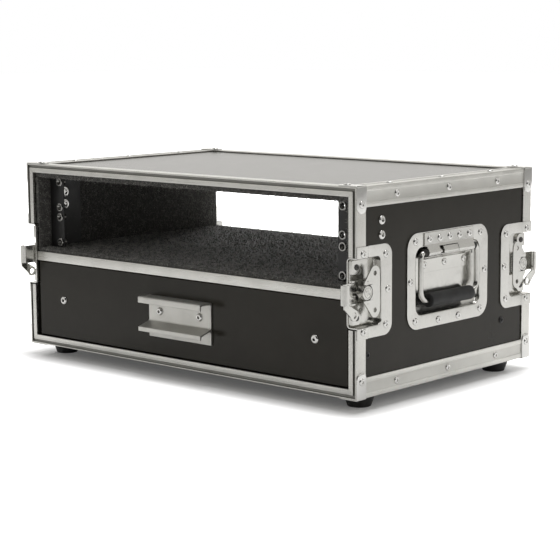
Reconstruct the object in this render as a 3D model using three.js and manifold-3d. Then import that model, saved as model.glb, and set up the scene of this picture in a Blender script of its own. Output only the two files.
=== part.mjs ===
// Short 19 inch rack road case: a two unit rack bay over one drawer, with recessed hardware.
// Millimetres, +Z up, front towards -Y, origin on the floor under the middle of the case.
import * as THREE from 'three';
import { mergeVertices } from 'three/addons/utils/BufferGeometryUtils.js';
import Module from 'manifold-3d';

const wasm = await Module();
wasm.setup();

// Clearance between pieces, root of a head in its carrier, and overrun of a cutting tool
const FIT = 0.3;
const ROOT = 0.5;
const OVERRUN = 2;

// Rack standard: front panel, one height unit, and the places of the holes in it
const RACK = { panelWidth: 482.6, unit: 44.45, edgeToHole: 6.35, holeInset: 8.75, railReach: 7.05 };

// Room beside the rack panels, height of the drawer bay, and depth of the case over its frames
const BAY = { sideRoom: 11.1, drawerHeight: 97.2, depth: 330 };

// Boards and soft lining
const PANEL = { thickness: 9 };
const SHELF = { thickness: 9, edgeInset: 4.3 };
const TRIM = { height: 11.5, thickness: 1.5, inset: 2.5, overlap: 1.2, endGap: 0.5 };
const LINING = { thickness: 5.5, railClearance: 0.4, pocketMargin: 0.8 };

// Lid frame extrusion round the front and rear openings
const FRAME = { wall: 1.5, flange: 16.5, ridge: 1.6, grooveWidth: 3.2, grooveDepth: 2.4 };

// Edge angle along the depth of the case
const ANGLE = { leg: 22.5, wall: 1.5, band: 5.5, bandRise: 0.4, rivetInset: 11.3, rivetEnd: 53.7 };

// Corner strap over the end of each frame corner
const STRAP = { width: 15.8, leg: 29, thickness: 1.2, edgeInset: 0.4, rivetFromEdge: 19 };

// Blind rivet head
const RIVET = { radius: 3.4, height: 1.4, crownHeight: 1.1 };
const RIVET_CROWN_SHARE = 0.62;

// Steel rack rail with flanged threaded inserts
const RAIL = { wall: 1.5, setback: 22, legDepth: 50, boltDepth: 23, boltDrop: 21.4, boltPitch: 16 };
const INSERT = { flangeRadius: 5.5, flangeRise: 1.5, barrelRadius: 4.6, barrelLength: 5, bore: 2.9 };
const BOLT = { shank: 2.8, hole: 3.2, washer: 6, washerHeight: 1.6, socket: 3, socketDepth: 1 };
const BOLT_HEAD = { radius: 5.2, crownRadius: 3, height: 2.4, edge: 1 };

// Rubber foot with a sunk screw hole
const FOOT = {
  height: 15, topRadius: 17.5, bottomRadius: 13.5, edge: 1.2, fromSide: 26, fromEnd: 37, screwHole: 5.5,
  screwDepth: 6,
};

// Telescopic drawer slide, three nested steel channels
const SLIDE = {
  height: 45, depth: 12.8, wall: 1.2, running: 0.5, start: 14, rearSpace: 36, belowMiddle: 15.4,
};

// Drawer, with its pull measured from the pull's lower edge
const DRAWER = {
  frontThickness: 9, frontInset: 4, frontGap: 1.2, frontSideGap: 4.2, wall: 9, wallGap: 16, rearSpace: 26.7,
  bottomThickness: 5, bottomLift: 3.2,
};
const PULL = {
  width: 103, height: 50, belowMiddle: 26.4, wall: 2, reach: 18, upperLip: 7.7, lowerRoot: 19.4, lowerDrop: 5,
  lowerLip: 6, screwSpacing: 66, screwRise: 31.5,
};
const SCREW = { radius: 4, height: 2.2, edge: 0.8, socket: 1.5, socketDepth: 1.2 };
const FRONT_SCREW_INSET = 46;

// Recessed handle
const HANDLE = {
  width: 152, height: 108, corner: 18, aboveMiddle: 2.2, sheet: 1.2, flangeSide: 16, flangeBelow: 15.8,
  flangeAbove: 17.5, openingCorner: 10, floorCorner: 12, depth: 7.7, floorInset: 16, floorInsetBelow: 12,
  floorInsetAbove: 6,
};
const BAIL = { wire: 3.1, belowOpening: 6.2, sideRoom: 7, bend: 12.5, topBend: 5, gripRise: 15 };
const GRIP = { radius: 8.2, edge: 1.5 };
const STRAP_HINGE = {
  sideRoom: 13.5, springRoom: 6.9, leafRoom: 1.5, thickness: 1.2, clearance: 0.5, topMargin: 1, leafEnd: 7,
  leafStart: 22, shoulder: 7.5, kneeRise: 9, centreStart: 21.4, centreEnd: 12, notchWidth: 6.4, notchLow: 2,
  slit: 0.8, slitRise: 6.5,
};
const SPRING = { wire: 0.6, pitch: 1.75, sunk: 0.15, endClearance: 0.5 };
const HANDLE_RIVETS = {
  topInset: 14.8, topDrop: 9.6, sideInset: 6.1, bottomInset: 14.5, bottomRise: 9.4, middleRise: 6.5,
  middlePitch: 37.7, strapEnd: 8.9, strapDrop: 8.5, leafEnd: 5, leafRise: 9,
};

// Recessed butterfly latch, with its lengths along the case measured back from the front plane
const LATCH = {
  aboveMiddle: 0.5, length: 61.5, height: 100, corner: 13, sheet: 1.2, front: 0.6, flangeBack: 18.5,
  flangeEnd: 13, openingCorner: 6, floorDepth: 12.3, stepStart: 18, stepLength: 3.4, pivot: 17.6,
};
const LATCH_RIVETS = { frontInset: 10.5, endRise: 8, cornerInset: 10.5, cornerRise: 11.5, backInset: 7 };
const BASE = {
  thickness: 2, backGap: 2, guideWidth: 2, guideHeight: 3, earLength: 16, earHeight: 15, earRise: 20,
  earChamfer: 4,
};
const HUB = {
  radius: 8, proud: 2, chamfer: 0.8, discGap: 0.3, post: 2.5, crank: 6, crankPin: 1.5, hingePin: 1.2,
  axisDepth: 0.1, slotWidth: 1.2, slotDepth: 0.8, slotHalf: 3.4,
};
const PLATE = {
  thickness: 1.6, lift: 0.4, hubGap: 0.6, reach: 21, backHalf: 10, lobeY: 12.5, lobePast: 3.2, lobe: 8.2,
  hole: 2.6, ear: 5.2, barrelLength: 3.8, barrel: 2.3, pinPlay: 0.3,
};
const HOOK = {
  slotWall: 3.2, thickness: 2, reach: 17, curl: 3.8, tipRise: 2.2, tipTurn: 0.5, tailWall: 5.6, slotPlay: 1.5,
};
const EYE = { below: 12, radius: 6.2, bore: 3.4, thickness: 2, from: 0.5, neck: 4 };

// Numbers of height units, rivets and turns
const RACK_UNITS = 2;
const ANGLE_RIVETS = 3;
const STRAP_RIVETS = 5;
const LEAF_RIVETS = 3;
const SPRING_TURNS = 3;

// Angles at which bends and rounds start or end
const KNUCKLE_END_DEGREES = -100;
const LOBE_END_DEGREES = 150;
const CURL_FROM_DEGREES = 200;
const CURL_TO_DEGREES = 340;

// Facet counts and other plain numbers
const CORNER_STEPS = 3;
const ROUND_END_STEPS = 6;
const TRAY_CORNER_STEPS = 2;
const BEND_STEPS = 4;
const ROUND_SIDES = 20;
const GRIP_SIDES = 16;
const EYE_SIDES = 14;
const INSERT_SIDES = 10;
const RIVET_SIDES = 8;
const SCREW_SIDES = 10;
const WIRE_SIDES = 8;
const COIL_SIDES = 5;
const COIL_STEPS = 8;
const ROD_JOINT_SHARE = 0.9;
const MITRE_LIMIT_SHARE = 0.5;
const WELD_TOLERANCE_SHARE = 1e-4;

// Width, worked out from the rack panel outwards
const faceWidth = FRAME.wall + FIT + PANEL.thickness;
const frameDepth = FRAME.grooveDepth + FRAME.wall;
const panelOut = FRAME.wall + FIT;
const liningX = RACK.panelWidth / 2 + BAY.sideRoom;
const innerX = liningX + LINING.thickness + FIT;
const sideX = innerX + faceWidth;
const panelX = sideX - panelOut;
const holeX = RACK.panelWidth / 2 - RACK.holeInset;

// Height, worked out from the drawer bay upwards
const railLength = RACK.unit * RACK_UNITS;
const shelfBottom = faceWidth + BAY.drawerHeight;
const shelfTop = shelfBottom + SHELF.thickness;
const railBottom = shelfTop + FIT + LINING.thickness + FIT;
const railTop = railBottom + railLength;
const ceilingZ = railTop + LINING.railClearance;
const caseHeight = ceilingZ + LINING.thickness + FIT + faceWidth;
const drawerMiddleZ = (faceWidth + shelfBottom) / 2;

// Depth
const frontY = -BAY.depth / 2;
const panelHalfDepth = BAY.depth / 2 - frameDepth - FIT;

// Recesses in the sides
const handleZ = caseHeight / 2 + HANDLE.aboveMiddle;
const handleTop = panelX + FIT + HANDLE.sheet;
const handleFloor = handleTop - HANDLE.depth;
const handleOpeningHalf = HANDLE.width / 2 - HANDLE.flangeSide;
const handleOpeningLow = handleZ - HANDLE.height / 2 + HANDLE.flangeBelow;
const handleOpeningHigh = handleZ + HANDLE.height / 2 - HANDLE.flangeAbove;
const latchZ = caseHeight / 2 + LATCH.aboveMiddle;
const latchFloor = sideX - LATCH.floorDepth;
const latchBack = latchFloor - LATCH.sheet;
const latchOpening = LATCH.length - LATCH.flangeBack;
const latchOpeningHalf = LATCH.height / 2 - LATCH.flangeEnd;

const X = new THREE.Vector3(1, 0, 0);
const Y = new THREE.Vector3(0, 1, 0);
const Z = new THREE.Vector3(0, 0, 1);
const forwards = Y.clone().negate();

// Geometry helpers

function flipFaces(geometry) {
  const flat = geometry.index ? geometry.toNonIndexed() : geometry;
  const positions = flat.attributes.position;
  const first = new THREE.Vector3();
  const second = new THREE.Vector3();
  for (let i = 0; i < positions.count; i += 3) {
    first.fromBufferAttribute(positions, i);
    second.fromBufferAttribute(positions, i + 1);
    positions.setXYZ(i, second.x, second.y, second.z);
    positions.setXYZ(i + 1, first.x, first.y, first.z);
  }
  return flat;
}

function placed(geometry, uAxis, vAxis, wAxis, origin = new THREE.Vector3()) {
  const matrix = new THREE.Matrix4().makeBasis(uAxis, vAxis, wAxis).setPosition(origin);
  const copy = geometry.clone().applyMatrix4(matrix);
  return matrix.determinant() < 0 ? flipFaces(copy) : copy;
}

function mirrored(geometry, sx, sy, sz = 1) {
  const u = new THREE.Vector3(sx, 0, 0);
  const v = new THREE.Vector3(0, sy, 0);
  const w = new THREE.Vector3(0, 0, sz);
  return placed(geometry, u, v, w);
}

function toSolid(geometry) {
  const bare = geometry.clone();
  bare.deleteAttribute('normal');
  bare.deleteAttribute('uv');
  const merged = mergeVertices(bare, WELD_TOLERANCE_SHARE);
  const vertProperties = merged.attributes.position.array;
  const triVerts = new Uint32Array(merged.index.array);
  return new wasm.Manifold(new wasm.Mesh({ numProp: 3, vertProperties, triVerts }));
}

function toGeometry(solid) {
  const mesh = solid.getMesh();
  const geometry = new THREE.BufferGeometry();
  geometry.setAttribute('position', new THREE.BufferAttribute(new Float32Array(mesh.vertProperties), 3));
  geometry.setIndex(new THREE.BufferAttribute(new Uint32Array(mesh.triVerts), 1));
  return geometry;
}

function join(pieces) {
  return toGeometry(pieces.map(toSolid).reduce((sum, solid) => sum.add(solid)));
}

function cut(piece, tools) {
  return toGeometry(tools.map(toSolid).reduce((rest, tool) => rest.subtract(tool), toSolid(piece)));
}

function common(piece, other) {
  return toGeometry(toSolid(piece).intersect(toSolid(other)));
}

function box(x0, x1, y0, y1, z0, z1) {
  const geometry = new THREE.BoxGeometry(x1 - x0, y1 - y0, z1 - z0);
  return geometry.translate((x0 + x1) / 2, (y0 + y1) / 2, (z0 + z1) / 2);
}

// A prism along one axis. Its outline is given in the two other axes, in the order X, Y, Z.
function prism(axis, outline, from, to) {
  const shape = new THREE.Shape(outline.map(([a, b]) => new THREE.Vector2(a, b)));
  const geometry = new THREE.ExtrudeGeometry(shape, { depth: to - from, bevelEnabled: false });
  const bases = { x: [Y, Z, X], y: [X, Z, Y], z: [X, Y, Z] };
  const origin = { x: X, y: Y, z: Z }[axis].clone().multiplyScalar(from);
  return placed(geometry, ...bases[axis], origin);
}

function roundedRect(a0, a1, b0, b1, radius, steps = CORNER_STEPS) {
  const path = new THREE.Path();
  path.absarc(a1 - radius, b0 + radius, radius, -Math.PI / 2, 0);
  path.absarc(a1 - radius, b1 - radius, radius, 0, Math.PI / 2);
  path.absarc(a0 + radius, b1 - radius, radius, Math.PI / 2, Math.PI);
  path.absarc(a0 + radius, b0 + radius, radius, Math.PI, Math.PI * 1.5);
  return path.getPoints(steps).map(p => [p.x, p.y]);
}

function circle(a, b, radius, sides = ROUND_SIDES) {
  const angles = Array.from({ length: sides }, (_, i) => (i / sides) * Math.PI * 2);
  return angles.map(t => [a + radius * Math.cos(t), b + radius * Math.sin(t)]);
}

function arc(a, b, radius, fromDegrees, toDegrees, steps) {
  return Array.from({ length: steps + 1 }, (_, i) => {
    const angle = THREE.MathUtils.degToRad(fromDegrees + ((toDegrees - fromDegrees) * i) / steps);
    return [a + radius * Math.cos(angle), b + radius * Math.sin(angle)];
  });
}

// The closed outline of sheet metal that follows a line, half its thickness to each side
function sheetOutline(line, thickness) {
  const sides = [[], []];
  line.forEach(([a, b], i) => {
    const before = line[Math.max(i - 1, 0)];
    const after = line[Math.min(i + 1, line.length - 1)];
    const arrive = new THREE.Vector2(a - before[0], b - before[1]).normalize();
    const leave = new THREE.Vector2(after[0] - a, after[1] - b).normalize();
    const along = arrive.clone().add(leave).normalize();
    const reference = i === 0 ? leave : arrive;
    const half = thickness / 2 / along.dot(reference);
    sides[0].push([a - along.y * half, b + along.x * half]);
    sides[1].unshift([a + along.y * half, b - along.x * half]);
  });
  return sides.flat();
}

// A turned solid round an axis through a point, from [radius, height] pairs that close on the axis
function turned(profile, axis, at, sides = ROUND_SIDES) {
  const geometry = new THREE.LatheGeometry(profile.map(([r, h]) => new THREE.Vector2(r, h)), sides);
  const side = Math.abs(axis.z) > Math.abs(axis.x) ? X : Z;
  const third = new THREE.Vector3().crossVectors(side, axis);
  return placed(toGeometry(toSolid(geometry)), side, axis, third, at);
}

function rod(axis, at, radius, from, to, sides = ROUND_SIDES) {
  return turned([[0, from], [radius, from], [radius, to], [0, to]], axis, at, sides);
}

// Whole or half steps on both sides of zero, for an even row
function evenly(count) {
  return Array.from({ length: count }, (_, i) => i - (count - 1) / 2);
}

// Heads are rooted in the piece that carries them, so that each node stays one solid

function rivet(axis, at) {
  const { radius, crownHeight, height } = RIVET;
  const profile = [[0, -ROOT], [radius, -ROOT], [radius * RIVET_CROWN_SHARE, crownHeight], [0, height]];
  return turned(profile, axis, at, RIVET_SIDES);
}

function panScrew(axis, at) {
  const { radius, height, edge, socket, socketDepth } = SCREW;
  const floor = height - socketDepth;
  const head = [[0, -ROOT], [radius, -ROOT], [radius, height - edge], [radius - edge, height]];
  return turned([...head, [socket, height], [socket, floor], [0, floor]], axis, at, SCREW_SIDES);
}

// A skin over a stack of rings with as many points each. It is closed by a cap at both ends, unless
// the last ring is the first one again.
function skin(rings) {
  const looped = rings[0] === rings[rings.length - 1];
  const count = rings[0].length;
  const index = [];
  for (let ring = 0; ring < rings.length - 1; ring += 1) {
    for (let i = 0; i < count; i += 1) {
      const a = ring * count + i;
      const b = ring * count + ((i + 1) % count);
      index.push(a, b, b + count, a, b + count, a + count);
    }
  }
  if (!looped) {
    const last = (rings.length - 1) * count;
    const flat = rings.map(ring => ring.map(([x, y, z]) => new THREE.Vector3(x, y, z)));
    for (const [a, b, c] of capTriangles(flat[0])) index.push(a, c, b);
    for (const [a, b, c] of capTriangles(flat[rings.length - 1])) index.push(last + a, last + b, last + c);
  }
  const geometry = new THREE.BufferGeometry();
  geometry.setAttribute('position', new THREE.BufferAttribute(new Float32Array(rings.flat(2)), 3));
  geometry.setIndex(index);
  return outward(geometry.toNonIndexed());
}

// Fans are enough, because every capped ring is convex
function capTriangles(ring) {
  return ring.slice(2).map((_, i) => [0, i + 1, i + 2]);
}

function outward(geometry) {
  const positions = geometry.attributes.position;
  const [a, b, c] = [0, 1, 2].map(() => new THREE.Vector3());
  let volume = 0;
  for (let i = 0; i < positions.count; i += 3) {
    a.fromBufferAttribute(positions, i);
    b.fromBufferAttribute(positions, i + 1);
    c.fromBufferAttribute(positions, i + 2);
    volume += a.dot(b.cross(c));
  }
  return volume < 0 ? flipFaces(geometry) : geometry;
}

// A round wire through points, with its bends mitred
function wire(points, radius, sides) {
  const rings = points.map((point, i) => {
    const before = points[Math.max(i - 1, 0)];
    const after = points[Math.min(i + 1, points.length - 1)];
    const leave = after.clone().sub(point).normalize();
    const arrive = i === 0 ? leave : point.clone().sub(before).normalize();
    const along = i === points.length - 1 ? arrive : arrive.clone().add(leave).normalize();
    const up = X.clone().addScaledVector(along, -along.x).normalize();
    const across = new THREE.Vector3().crossVectors(along, up);
    const stretch = 1 / Math.max(along.dot(arrive), MITRE_LIMIT_SHARE);
    return circle(0, 0, radius, sides).map(([u, v]) => {
      return point.clone().addScaledVector(up, u).addScaledVector(across, v * stretch).toArray();
    });
  });
  return skin(rings);
}

// Materials

const finish = (color, roughness, metalness) => ({ color, roughness, metalness });
const FINISHES = {
  laminate: finish(0x2b2a27, 0.45, 0),
  aluminium: finish(0xc4c3bd, 0.38, 0.9),
  chrome: finish(0xd6d5d0, 0.18, 1),
  carpet: finish(0x2c2b29, 0.95, 0),
  blackSteel: finish(0x1d1d1f, 0.5, 0.4),
  zinc: finish(0xb4b6b8, 0.35, 0.9),
  plywood: finish(0xb08d5f, 0.7, 0),
  rubber: finish(0x191919, 0.75, 0),
};

const model = new THREE.Group();
const body = new THREE.Group();
body.position.z = FOOT.height;
model.add(body);

function add(name, geometry, finishName) {
  const material = new THREE.MeshStandardMaterial(FINISHES[finishName]);
  const mesh = new THREE.Mesh(geometry, material);
  mesh.name = name;
  body.add(mesh);
}

const CORNERS = [[1, -1], [1, 1], [-1, -1], [-1, 1]];
const sideName = sx => (sx > 0 ? 'right' : 'left');
const endName = sy => (sy < 0 ? 'front' : 'rear');

// Shell boards

function latchHoles(fromX, toX) {
  const half = latchOpeningHalf + LATCH.sheet + FIT;
  const inner = frontY + latchOpening + LATCH.sheet + FIT;
  const front = box(fromX, toX, frontY - OVERRUN, inner, latchZ - half, latchZ + half);
  return [front, mirrored(front, 1, -1)];
}

function railBoltHeights() {
  const high = railTop - RAIL.boltDrop;
  return [high - RAIL.boltPitch, high];
}

function boltHoles(fromX, toX) {
  const y = frontY + RAIL.setback + RAIL.boltDepth;
  return railBoltHeights().map(z => rod(X, new THREE.Vector3(0, y, z), BOLT.hole, fromX, toX, RIVET_SIDES));
}

function sidePanel() {
  const low = faceWidth + FIT;
  const high = caseHeight - faceWidth - FIT;
  const board = box(innerX, panelX, -panelHalfDepth, panelHalfDepth, low, high);
  const grow = HANDLE.sheet + FIT;
  const half = handleOpeningHalf + grow;
  const outline = roundedRect(
    -half, half, handleOpeningLow - grow, handleOpeningHigh + grow, HANDLE.openingCorner + grow,
  );
  const from = innerX - OVERRUN;
  const to = panelX + OVERRUN;
  return cut(board, [prism('x', outline, from, to), ...latchHoles(from, to), ...boltHoles(from, to)]);
}

function addShell() {
  const topLow = caseHeight - faceWidth;
  const topHigh = caseHeight - panelOut;
  const top = box(-panelX, panelX, -panelHalfDepth, panelHalfDepth, topLow, topHigh);
  add('top_panel', top, 'laminate');
  add('bottom_panel', box(-panelX, panelX, -panelHalfDepth, panelHalfDepth, panelOut, faceWidth), 'laminate');
  const side = sidePanel();
  add('right_panel', side, 'laminate');
  add('left_panel', mirrored(side, -1, 1), 'laminate');
}

// Shelf between the rack bay and the drawer, with its edge strip

function addShelf() {
  const half = innerX - FIT;
  const front = frontY + SHELF.edgeInset;
  const board = box(-half, half, front, -front, shelfBottom, shelfTop);
  const latches = latchHoles(latchBack - FIT, sideX);
  add('shelf_board', cut(board, [...latches, ...latches.map(g => mirrored(g, -1, 1))]), 'plywood');
  const trimHalf = latchBack - FIT - TRIM.endGap;
  const trimY = frontY + TRIM.inset;
  const low = shelfBottom - TRIM.overlap;
  const strip = box(-trimHalf, trimHalf, trimY, trimY + TRIM.thickness, low, low + TRIM.height);
  add('shelf_edge_strip', strip, 'aluminium');
}

// Soft lining, hollowed at its back where the latch dishes come through the wall

function addLining() {
  const front = frontY + SHELF.edgeInset;
  const outer = innerX - FIT;
  const wallLow = shelfTop + FIT;
  const ceiling = box(-outer, outer, front, -front, ceilingZ, ceilingZ + LINING.thickness);
  add('ceiling_lining', ceiling, 'carpet');
  const wall = box(liningX, outer, front, -front, wallLow, ceilingZ - FIT);
  const pockets = latchHoles(latchBack - LINING.pocketMargin, outer + OVERRUN);
  const right = cut(wall, [...pockets, ...boltHoles(liningX - OVERRUN, outer + OVERRUN)]);
  add('right_wall_lining', right, 'carpet');
  add('left_wall_lining', mirrored(right, -1, 1), 'carpet');
  const floorHalf = liningX - FIT;
  const floor = box(-floorHalf, floorHalf, front, -front, wallLow, wallLow + LINING.thickness);
  add('shelf_lining', floor, 'carpet');
}

// Lid frame: the extrusion's section carried round the opening with a mitre at each corner

function frameRing() {
  const { wall, flange, ridge, grooveWidth, grooveDepth } = FRAME;
  const grooveEnd = ridge + grooveWidth;
  const section = [
    [0, 0], [ridge, 0], [ridge, grooveDepth], [grooveEnd, grooveDepth], [grooveEnd, 0], [faceWidth, 0],
    [faceWidth, frameDepth], [wall, frameDepth], [wall, flange], [0, flange],
  ];
  const middle = caseHeight / 2;
  const corners = [[1, 1], [1, -1], [-1, -1], [-1, 1]];
  const rings = corners.map(([sx, sz]) => section.map(([u, v]) => [
    sx * (sideX - u), frontY + v, middle + sz * (middle - u),
  ]));
  return skin([...rings, rings[0]]);
}

// The latches interrupt the uprights, so each frame is an upper and a lower half
function frameHalf(strap) {
  const latches = latchHoles(innerX - OVERRUN, sideX + OVERRUN).slice(0, 1);
  const reach = sideX + OVERRUN;
  const upper = box(-reach, reach, frontY - OVERRUN, 0, caseHeight / 2, caseHeight + OVERRUN);
  const bars = cut(common(frameRing(), upper), [...latches, ...latches.map(g => mirrored(g, -1, 1))]);
  return join([bars, strap, mirrored(strap, -1, 1)]);
}

// Edge angle with a raised band along each border of both legs

function edgeAngle() {
  const { leg, wall, band, bandRise, rivetInset, rivetEnd } = ANGLE;
  const inward = [
    [0, 0], [band, 0], [band, bandRise], [leg - band, bandRise], [leg - band, 0], [leg, 0], [leg, wall],
    [wall, wall], [wall, leg], [0, leg], [0, leg - band], [bandRise, leg - band], [bandRise, band], [0, band],
  ];
  const outline = inward.map(([a, b]) => [sideX - a, caseHeight - b]);
  const half = -frontY - FRAME.flange - FIT;
  const pitch = (2 * (half - rivetEnd)) / (ANGLE_RIVETS - 1);
  const rivets = evenly(ANGLE_RIVETS).map(i => i * pitch).flatMap(y => [
    rivet(X, new THREE.Vector3(sideX - bandRise, y, caseHeight - rivetInset)),
    rivet(Z, new THREE.Vector3(sideX - rivetInset, y, caseHeight - bandRise)),
  ]);
  return join([prism('y', outline, -half, half), ...rivets]);
}

// Corner strap: two round-ended legs over the edge, side and top, with a rivet in each

function cornerStrap() {
  const { width, leg, thickness, edgeInset, rivetFromEdge } = STRAP;
  const y0 = frontY + edgeInset;
  const radius = width / 2;
  const round = reach => arc(y0 + radius, reach - leg + radius, radius, 0, -180, ROUND_END_STEPS);
  const tongue = reach => [[y0, reach], [y0 + width, reach], ...round(reach)];
  const sideLeg = prism('x', tongue(caseHeight + thickness), sideX - ROOT, sideX + thickness);
  const flat = tongue(sideX + thickness).map(([y, x]) => [x, y]);
  const topLeg = prism('z', flat, caseHeight - ROOT, caseHeight + thickness);
  const middle = y0 + radius;
  const onSide = rivet(X, new THREE.Vector3(sideX + thickness, middle, caseHeight - rivetFromEdge));
  const onTop = rivet(Z, new THREE.Vector3(sideX - rivetFromEdge, middle, caseHeight + thickness));
  return join([sideLeg, topLeg, onSide, onTop]);
}

const flipZ = geometry => mirrored(geometry, 1, 1, -1).translate(0, 0, caseHeight);

function addEdges() {
  const upper = frameHalf(cornerStrap());
  const halves = [['upper', upper], ['lower', flipZ(upper)]];
  for (const sy of [-1, 1]) {
    for (const [half, geometry] of halves) {
      add(`${endName(sy)}_lid_frame_${half}`, mirrored(geometry, 1, -sy), 'aluminium');
    }
  }
  const angle = edgeAngle();
  for (const sx of [1, -1]) {
    add(`top_${sideName(sx)}_angle`, mirrored(angle, sx, 1), 'aluminium');
    add(`bottom_${sideName(sx)}_angle`, mirrored(flipZ(angle), sx, 1), 'aluminium');
  }
}

// Rack rail with its inserts and the two bolts that hold it to the wall

function rackHoleHeights() {
  const units = Array.from({ length: RACK_UNITS }, (_, i) => i * RACK.unit);
  return units.flatMap(base => [base + RACK.edgeToHole, base + RACK.unit - RACK.edgeToHole]);
}

function rackRail() {
  const front = frontY + RAIL.setback;
  const outer = liningX - FIT;
  const inner = holeX - RACK.railReach;
  const outline = [
    [inner, front], [outer, front], [outer, front + RAIL.legDepth],
    [outer - RAIL.wall, front + RAIL.legDepth], [outer - RAIL.wall, front + RAIL.wall],
    [inner, front + RAIL.wall],
  ];
  const rail = prism('z', outline, railBottom, railTop);
  const at = height => new THREE.Vector3(holeX, front, railBottom + height);
  const { flangeRadius, flangeRise, barrelRadius, barrelLength, bore } = INSERT;
  const profile = [
    [0, -flangeRise], [flangeRadius, -flangeRise], [flangeRadius, RAIL.wall / 2],
    [barrelRadius, RAIL.wall / 2], [barrelRadius, RAIL.wall + barrelLength], [0, RAIL.wall + barrelLength],
  ];
  const bodies = rackHoleHeights().map(height => turned(profile, Y, at(height), INSERT_SIDES));
  const bores = rackHoleHeights().map(height => {
    return rod(Y, at(height), bore, -flangeRise - OVERRUN, RAIL.wall + barrelLength + OVERRUN, RIVET_SIDES);
  });
  return cut(join([rail, ...bodies, ...railBoltHeights().map(railBolt)]), bores);
}

function railBolt(z) {
  const inside = liningX - FIT - RAIL.wall;
  const outside = panelX + FIT;
  const end = inside - BOLT.washerHeight;
  const profile = [
    [0, end + BOLT.socketDepth], [BOLT.socket, end + BOLT.socketDepth], [BOLT.socket, end],
    [BOLT.washer, end], [BOLT.washer, inside + ROOT], [BOLT.shank, inside + ROOT], [BOLT.shank, outside],
    [BOLT_HEAD.radius, outside], [BOLT_HEAD.radius, outside + BOLT_HEAD.edge],
    [BOLT_HEAD.crownRadius, outside + BOLT_HEAD.height], [0, outside + BOLT_HEAD.height],
  ];
  const y = frontY + RAIL.setback + RAIL.boltDepth;
  return turned(profile, X, new THREE.Vector3(0, y, z), RIVET_SIDES);
}

function addRack() {
  const rail = rackRail();
  add('right_rack_rail', rail, 'blackSteel');
  add('left_rack_rail', mirrored(rail, -1, 1), 'blackSteel');
}

// Feet under the corners, seated on the inner bands of the edge angles

function addFeet() {
  const { topRadius, bottomRadius, edge, height, fromSide, fromEnd, screwHole, screwDepth } = FOOT;
  const profile = [
    [0, screwDepth - height], [screwHole, screwDepth - height], [screwHole, -height],
    [bottomRadius - edge, -height], [bottomRadius, edge - height], [topRadius, -FIT - edge],
    [topRadius, -FIT], [0, -FIT],
  ];
  for (const [sx, sy] of CORNERS) {
    const at = new THREE.Vector3(sx * (sideX - fromSide), -sy * (frontY + fromEnd), 0);
    add(`${endName(sy)}_${sideName(sx)}_foot`, turned(profile, Z, at), 'rubber');
  }
}

// Drawer slides: three channels nested in each other

function channel(nearWall, depth, halfHeight, opensInward) {
  const start = innerX - nearWall;
  const end = start - depth;
  const web = opensInward ? start : end;
  const turn = opensInward ? -SLIDE.wall : SLIDE.wall;
  const open = opensInward ? end : start;
  const inside = halfHeight - SLIDE.wall;
  const upper = [[web, halfHeight], [open, halfHeight], [open, inside], [web + turn, inside]];
  const lower = upper.map(([x, z]) => [x, -z]).reverse();
  const outline = [...upper, ...lower].map(([x, z]) => [x, z + drawerMiddleZ - SLIDE.belowMiddle]);
  return prism('y', outline, frontY + SLIDE.start, -frontY - SLIDE.rearSpace);
}

function addSlides() {
  const { height, depth, wall, running } = SLIDE;
  const pitch = wall + running;
  const outer = channel(FIT, depth - FIT - wall, height / 2, true);
  const middle = channel(FIT + wall + running, depth - pitch - wall - FIT, height / 2 - pitch, true);
  const inner = channel(FIT + 2 * pitch, depth - FIT - 2 * pitch, height / 2 - 2 * pitch, false);
  for (const sx of [1, -1]) {
    add(`${sideName(sx)}_slide_outer`, mirrored(outer, sx, 1), 'zinc');
    add(`${sideName(sx)}_slide_middle`, mirrored(middle, sx, 1), 'zinc');
    add(`${sideName(sx)}_slide_inner`, mirrored(inner, sx, 1), 'zinc');
  }
}

// Drawer box, front and pull

const drawerFace = frontY + DRAWER.frontInset;
const drawerBack = drawerFace + DRAWER.frontThickness;
const drawerSideX = innerX - SLIDE.depth - FIT;
const drawerFloor = faceWidth + DRAWER.bottomLift;
const pullLow = drawerMiddleZ - PULL.belowMiddle;

function addDrawer() {
  const { wall, wallGap, rearSpace, bottomThickness } = DRAWER;
  add('drawer_front', drawerFront(), 'laminate');
  const start = drawerBack + FIT;
  const end = -frontY - rearSpace;
  const low = drawerFloor + bottomThickness + FIT;
  const high = shelfBottom - wallGap;
  const side = box(drawerSideX - wall, drawerSideX, start, end, low, high);
  add('drawer_right_side', side, 'plywood');
  add('drawer_left_side', mirrored(side, -1, 1), 'plywood');
  const innerHalf = drawerSideX - wall - FIT;
  add('drawer_back', box(-innerHalf, innerHalf, end - wall, end, low, high), 'plywood');
  const bottom = box(-drawerSideX, drawerSideX, start, end, drawerFloor, drawerFloor + bottomThickness);
  add('drawer_bottom', bottom, 'plywood');
  add('drawer_pull', drawerPull(), 'aluminium');
}

function drawerFront() {
  const { frontGap, frontSideGap } = DRAWER;
  const half = innerX - frontSideGap;
  const high = shelfBottom - TRIM.overlap - frontGap;
  const board = box(-half, half, drawerFace, drawerBack, faceWidth + frontGap, high);
  const x = half - FRONT_SCREW_INSET;
  const screws = [x, -x].map(at => panScrew(forwards, new THREE.Vector3(at, drawerFace, drawerMiddleZ)));
  return join([board, ...screws]);
}

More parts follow.
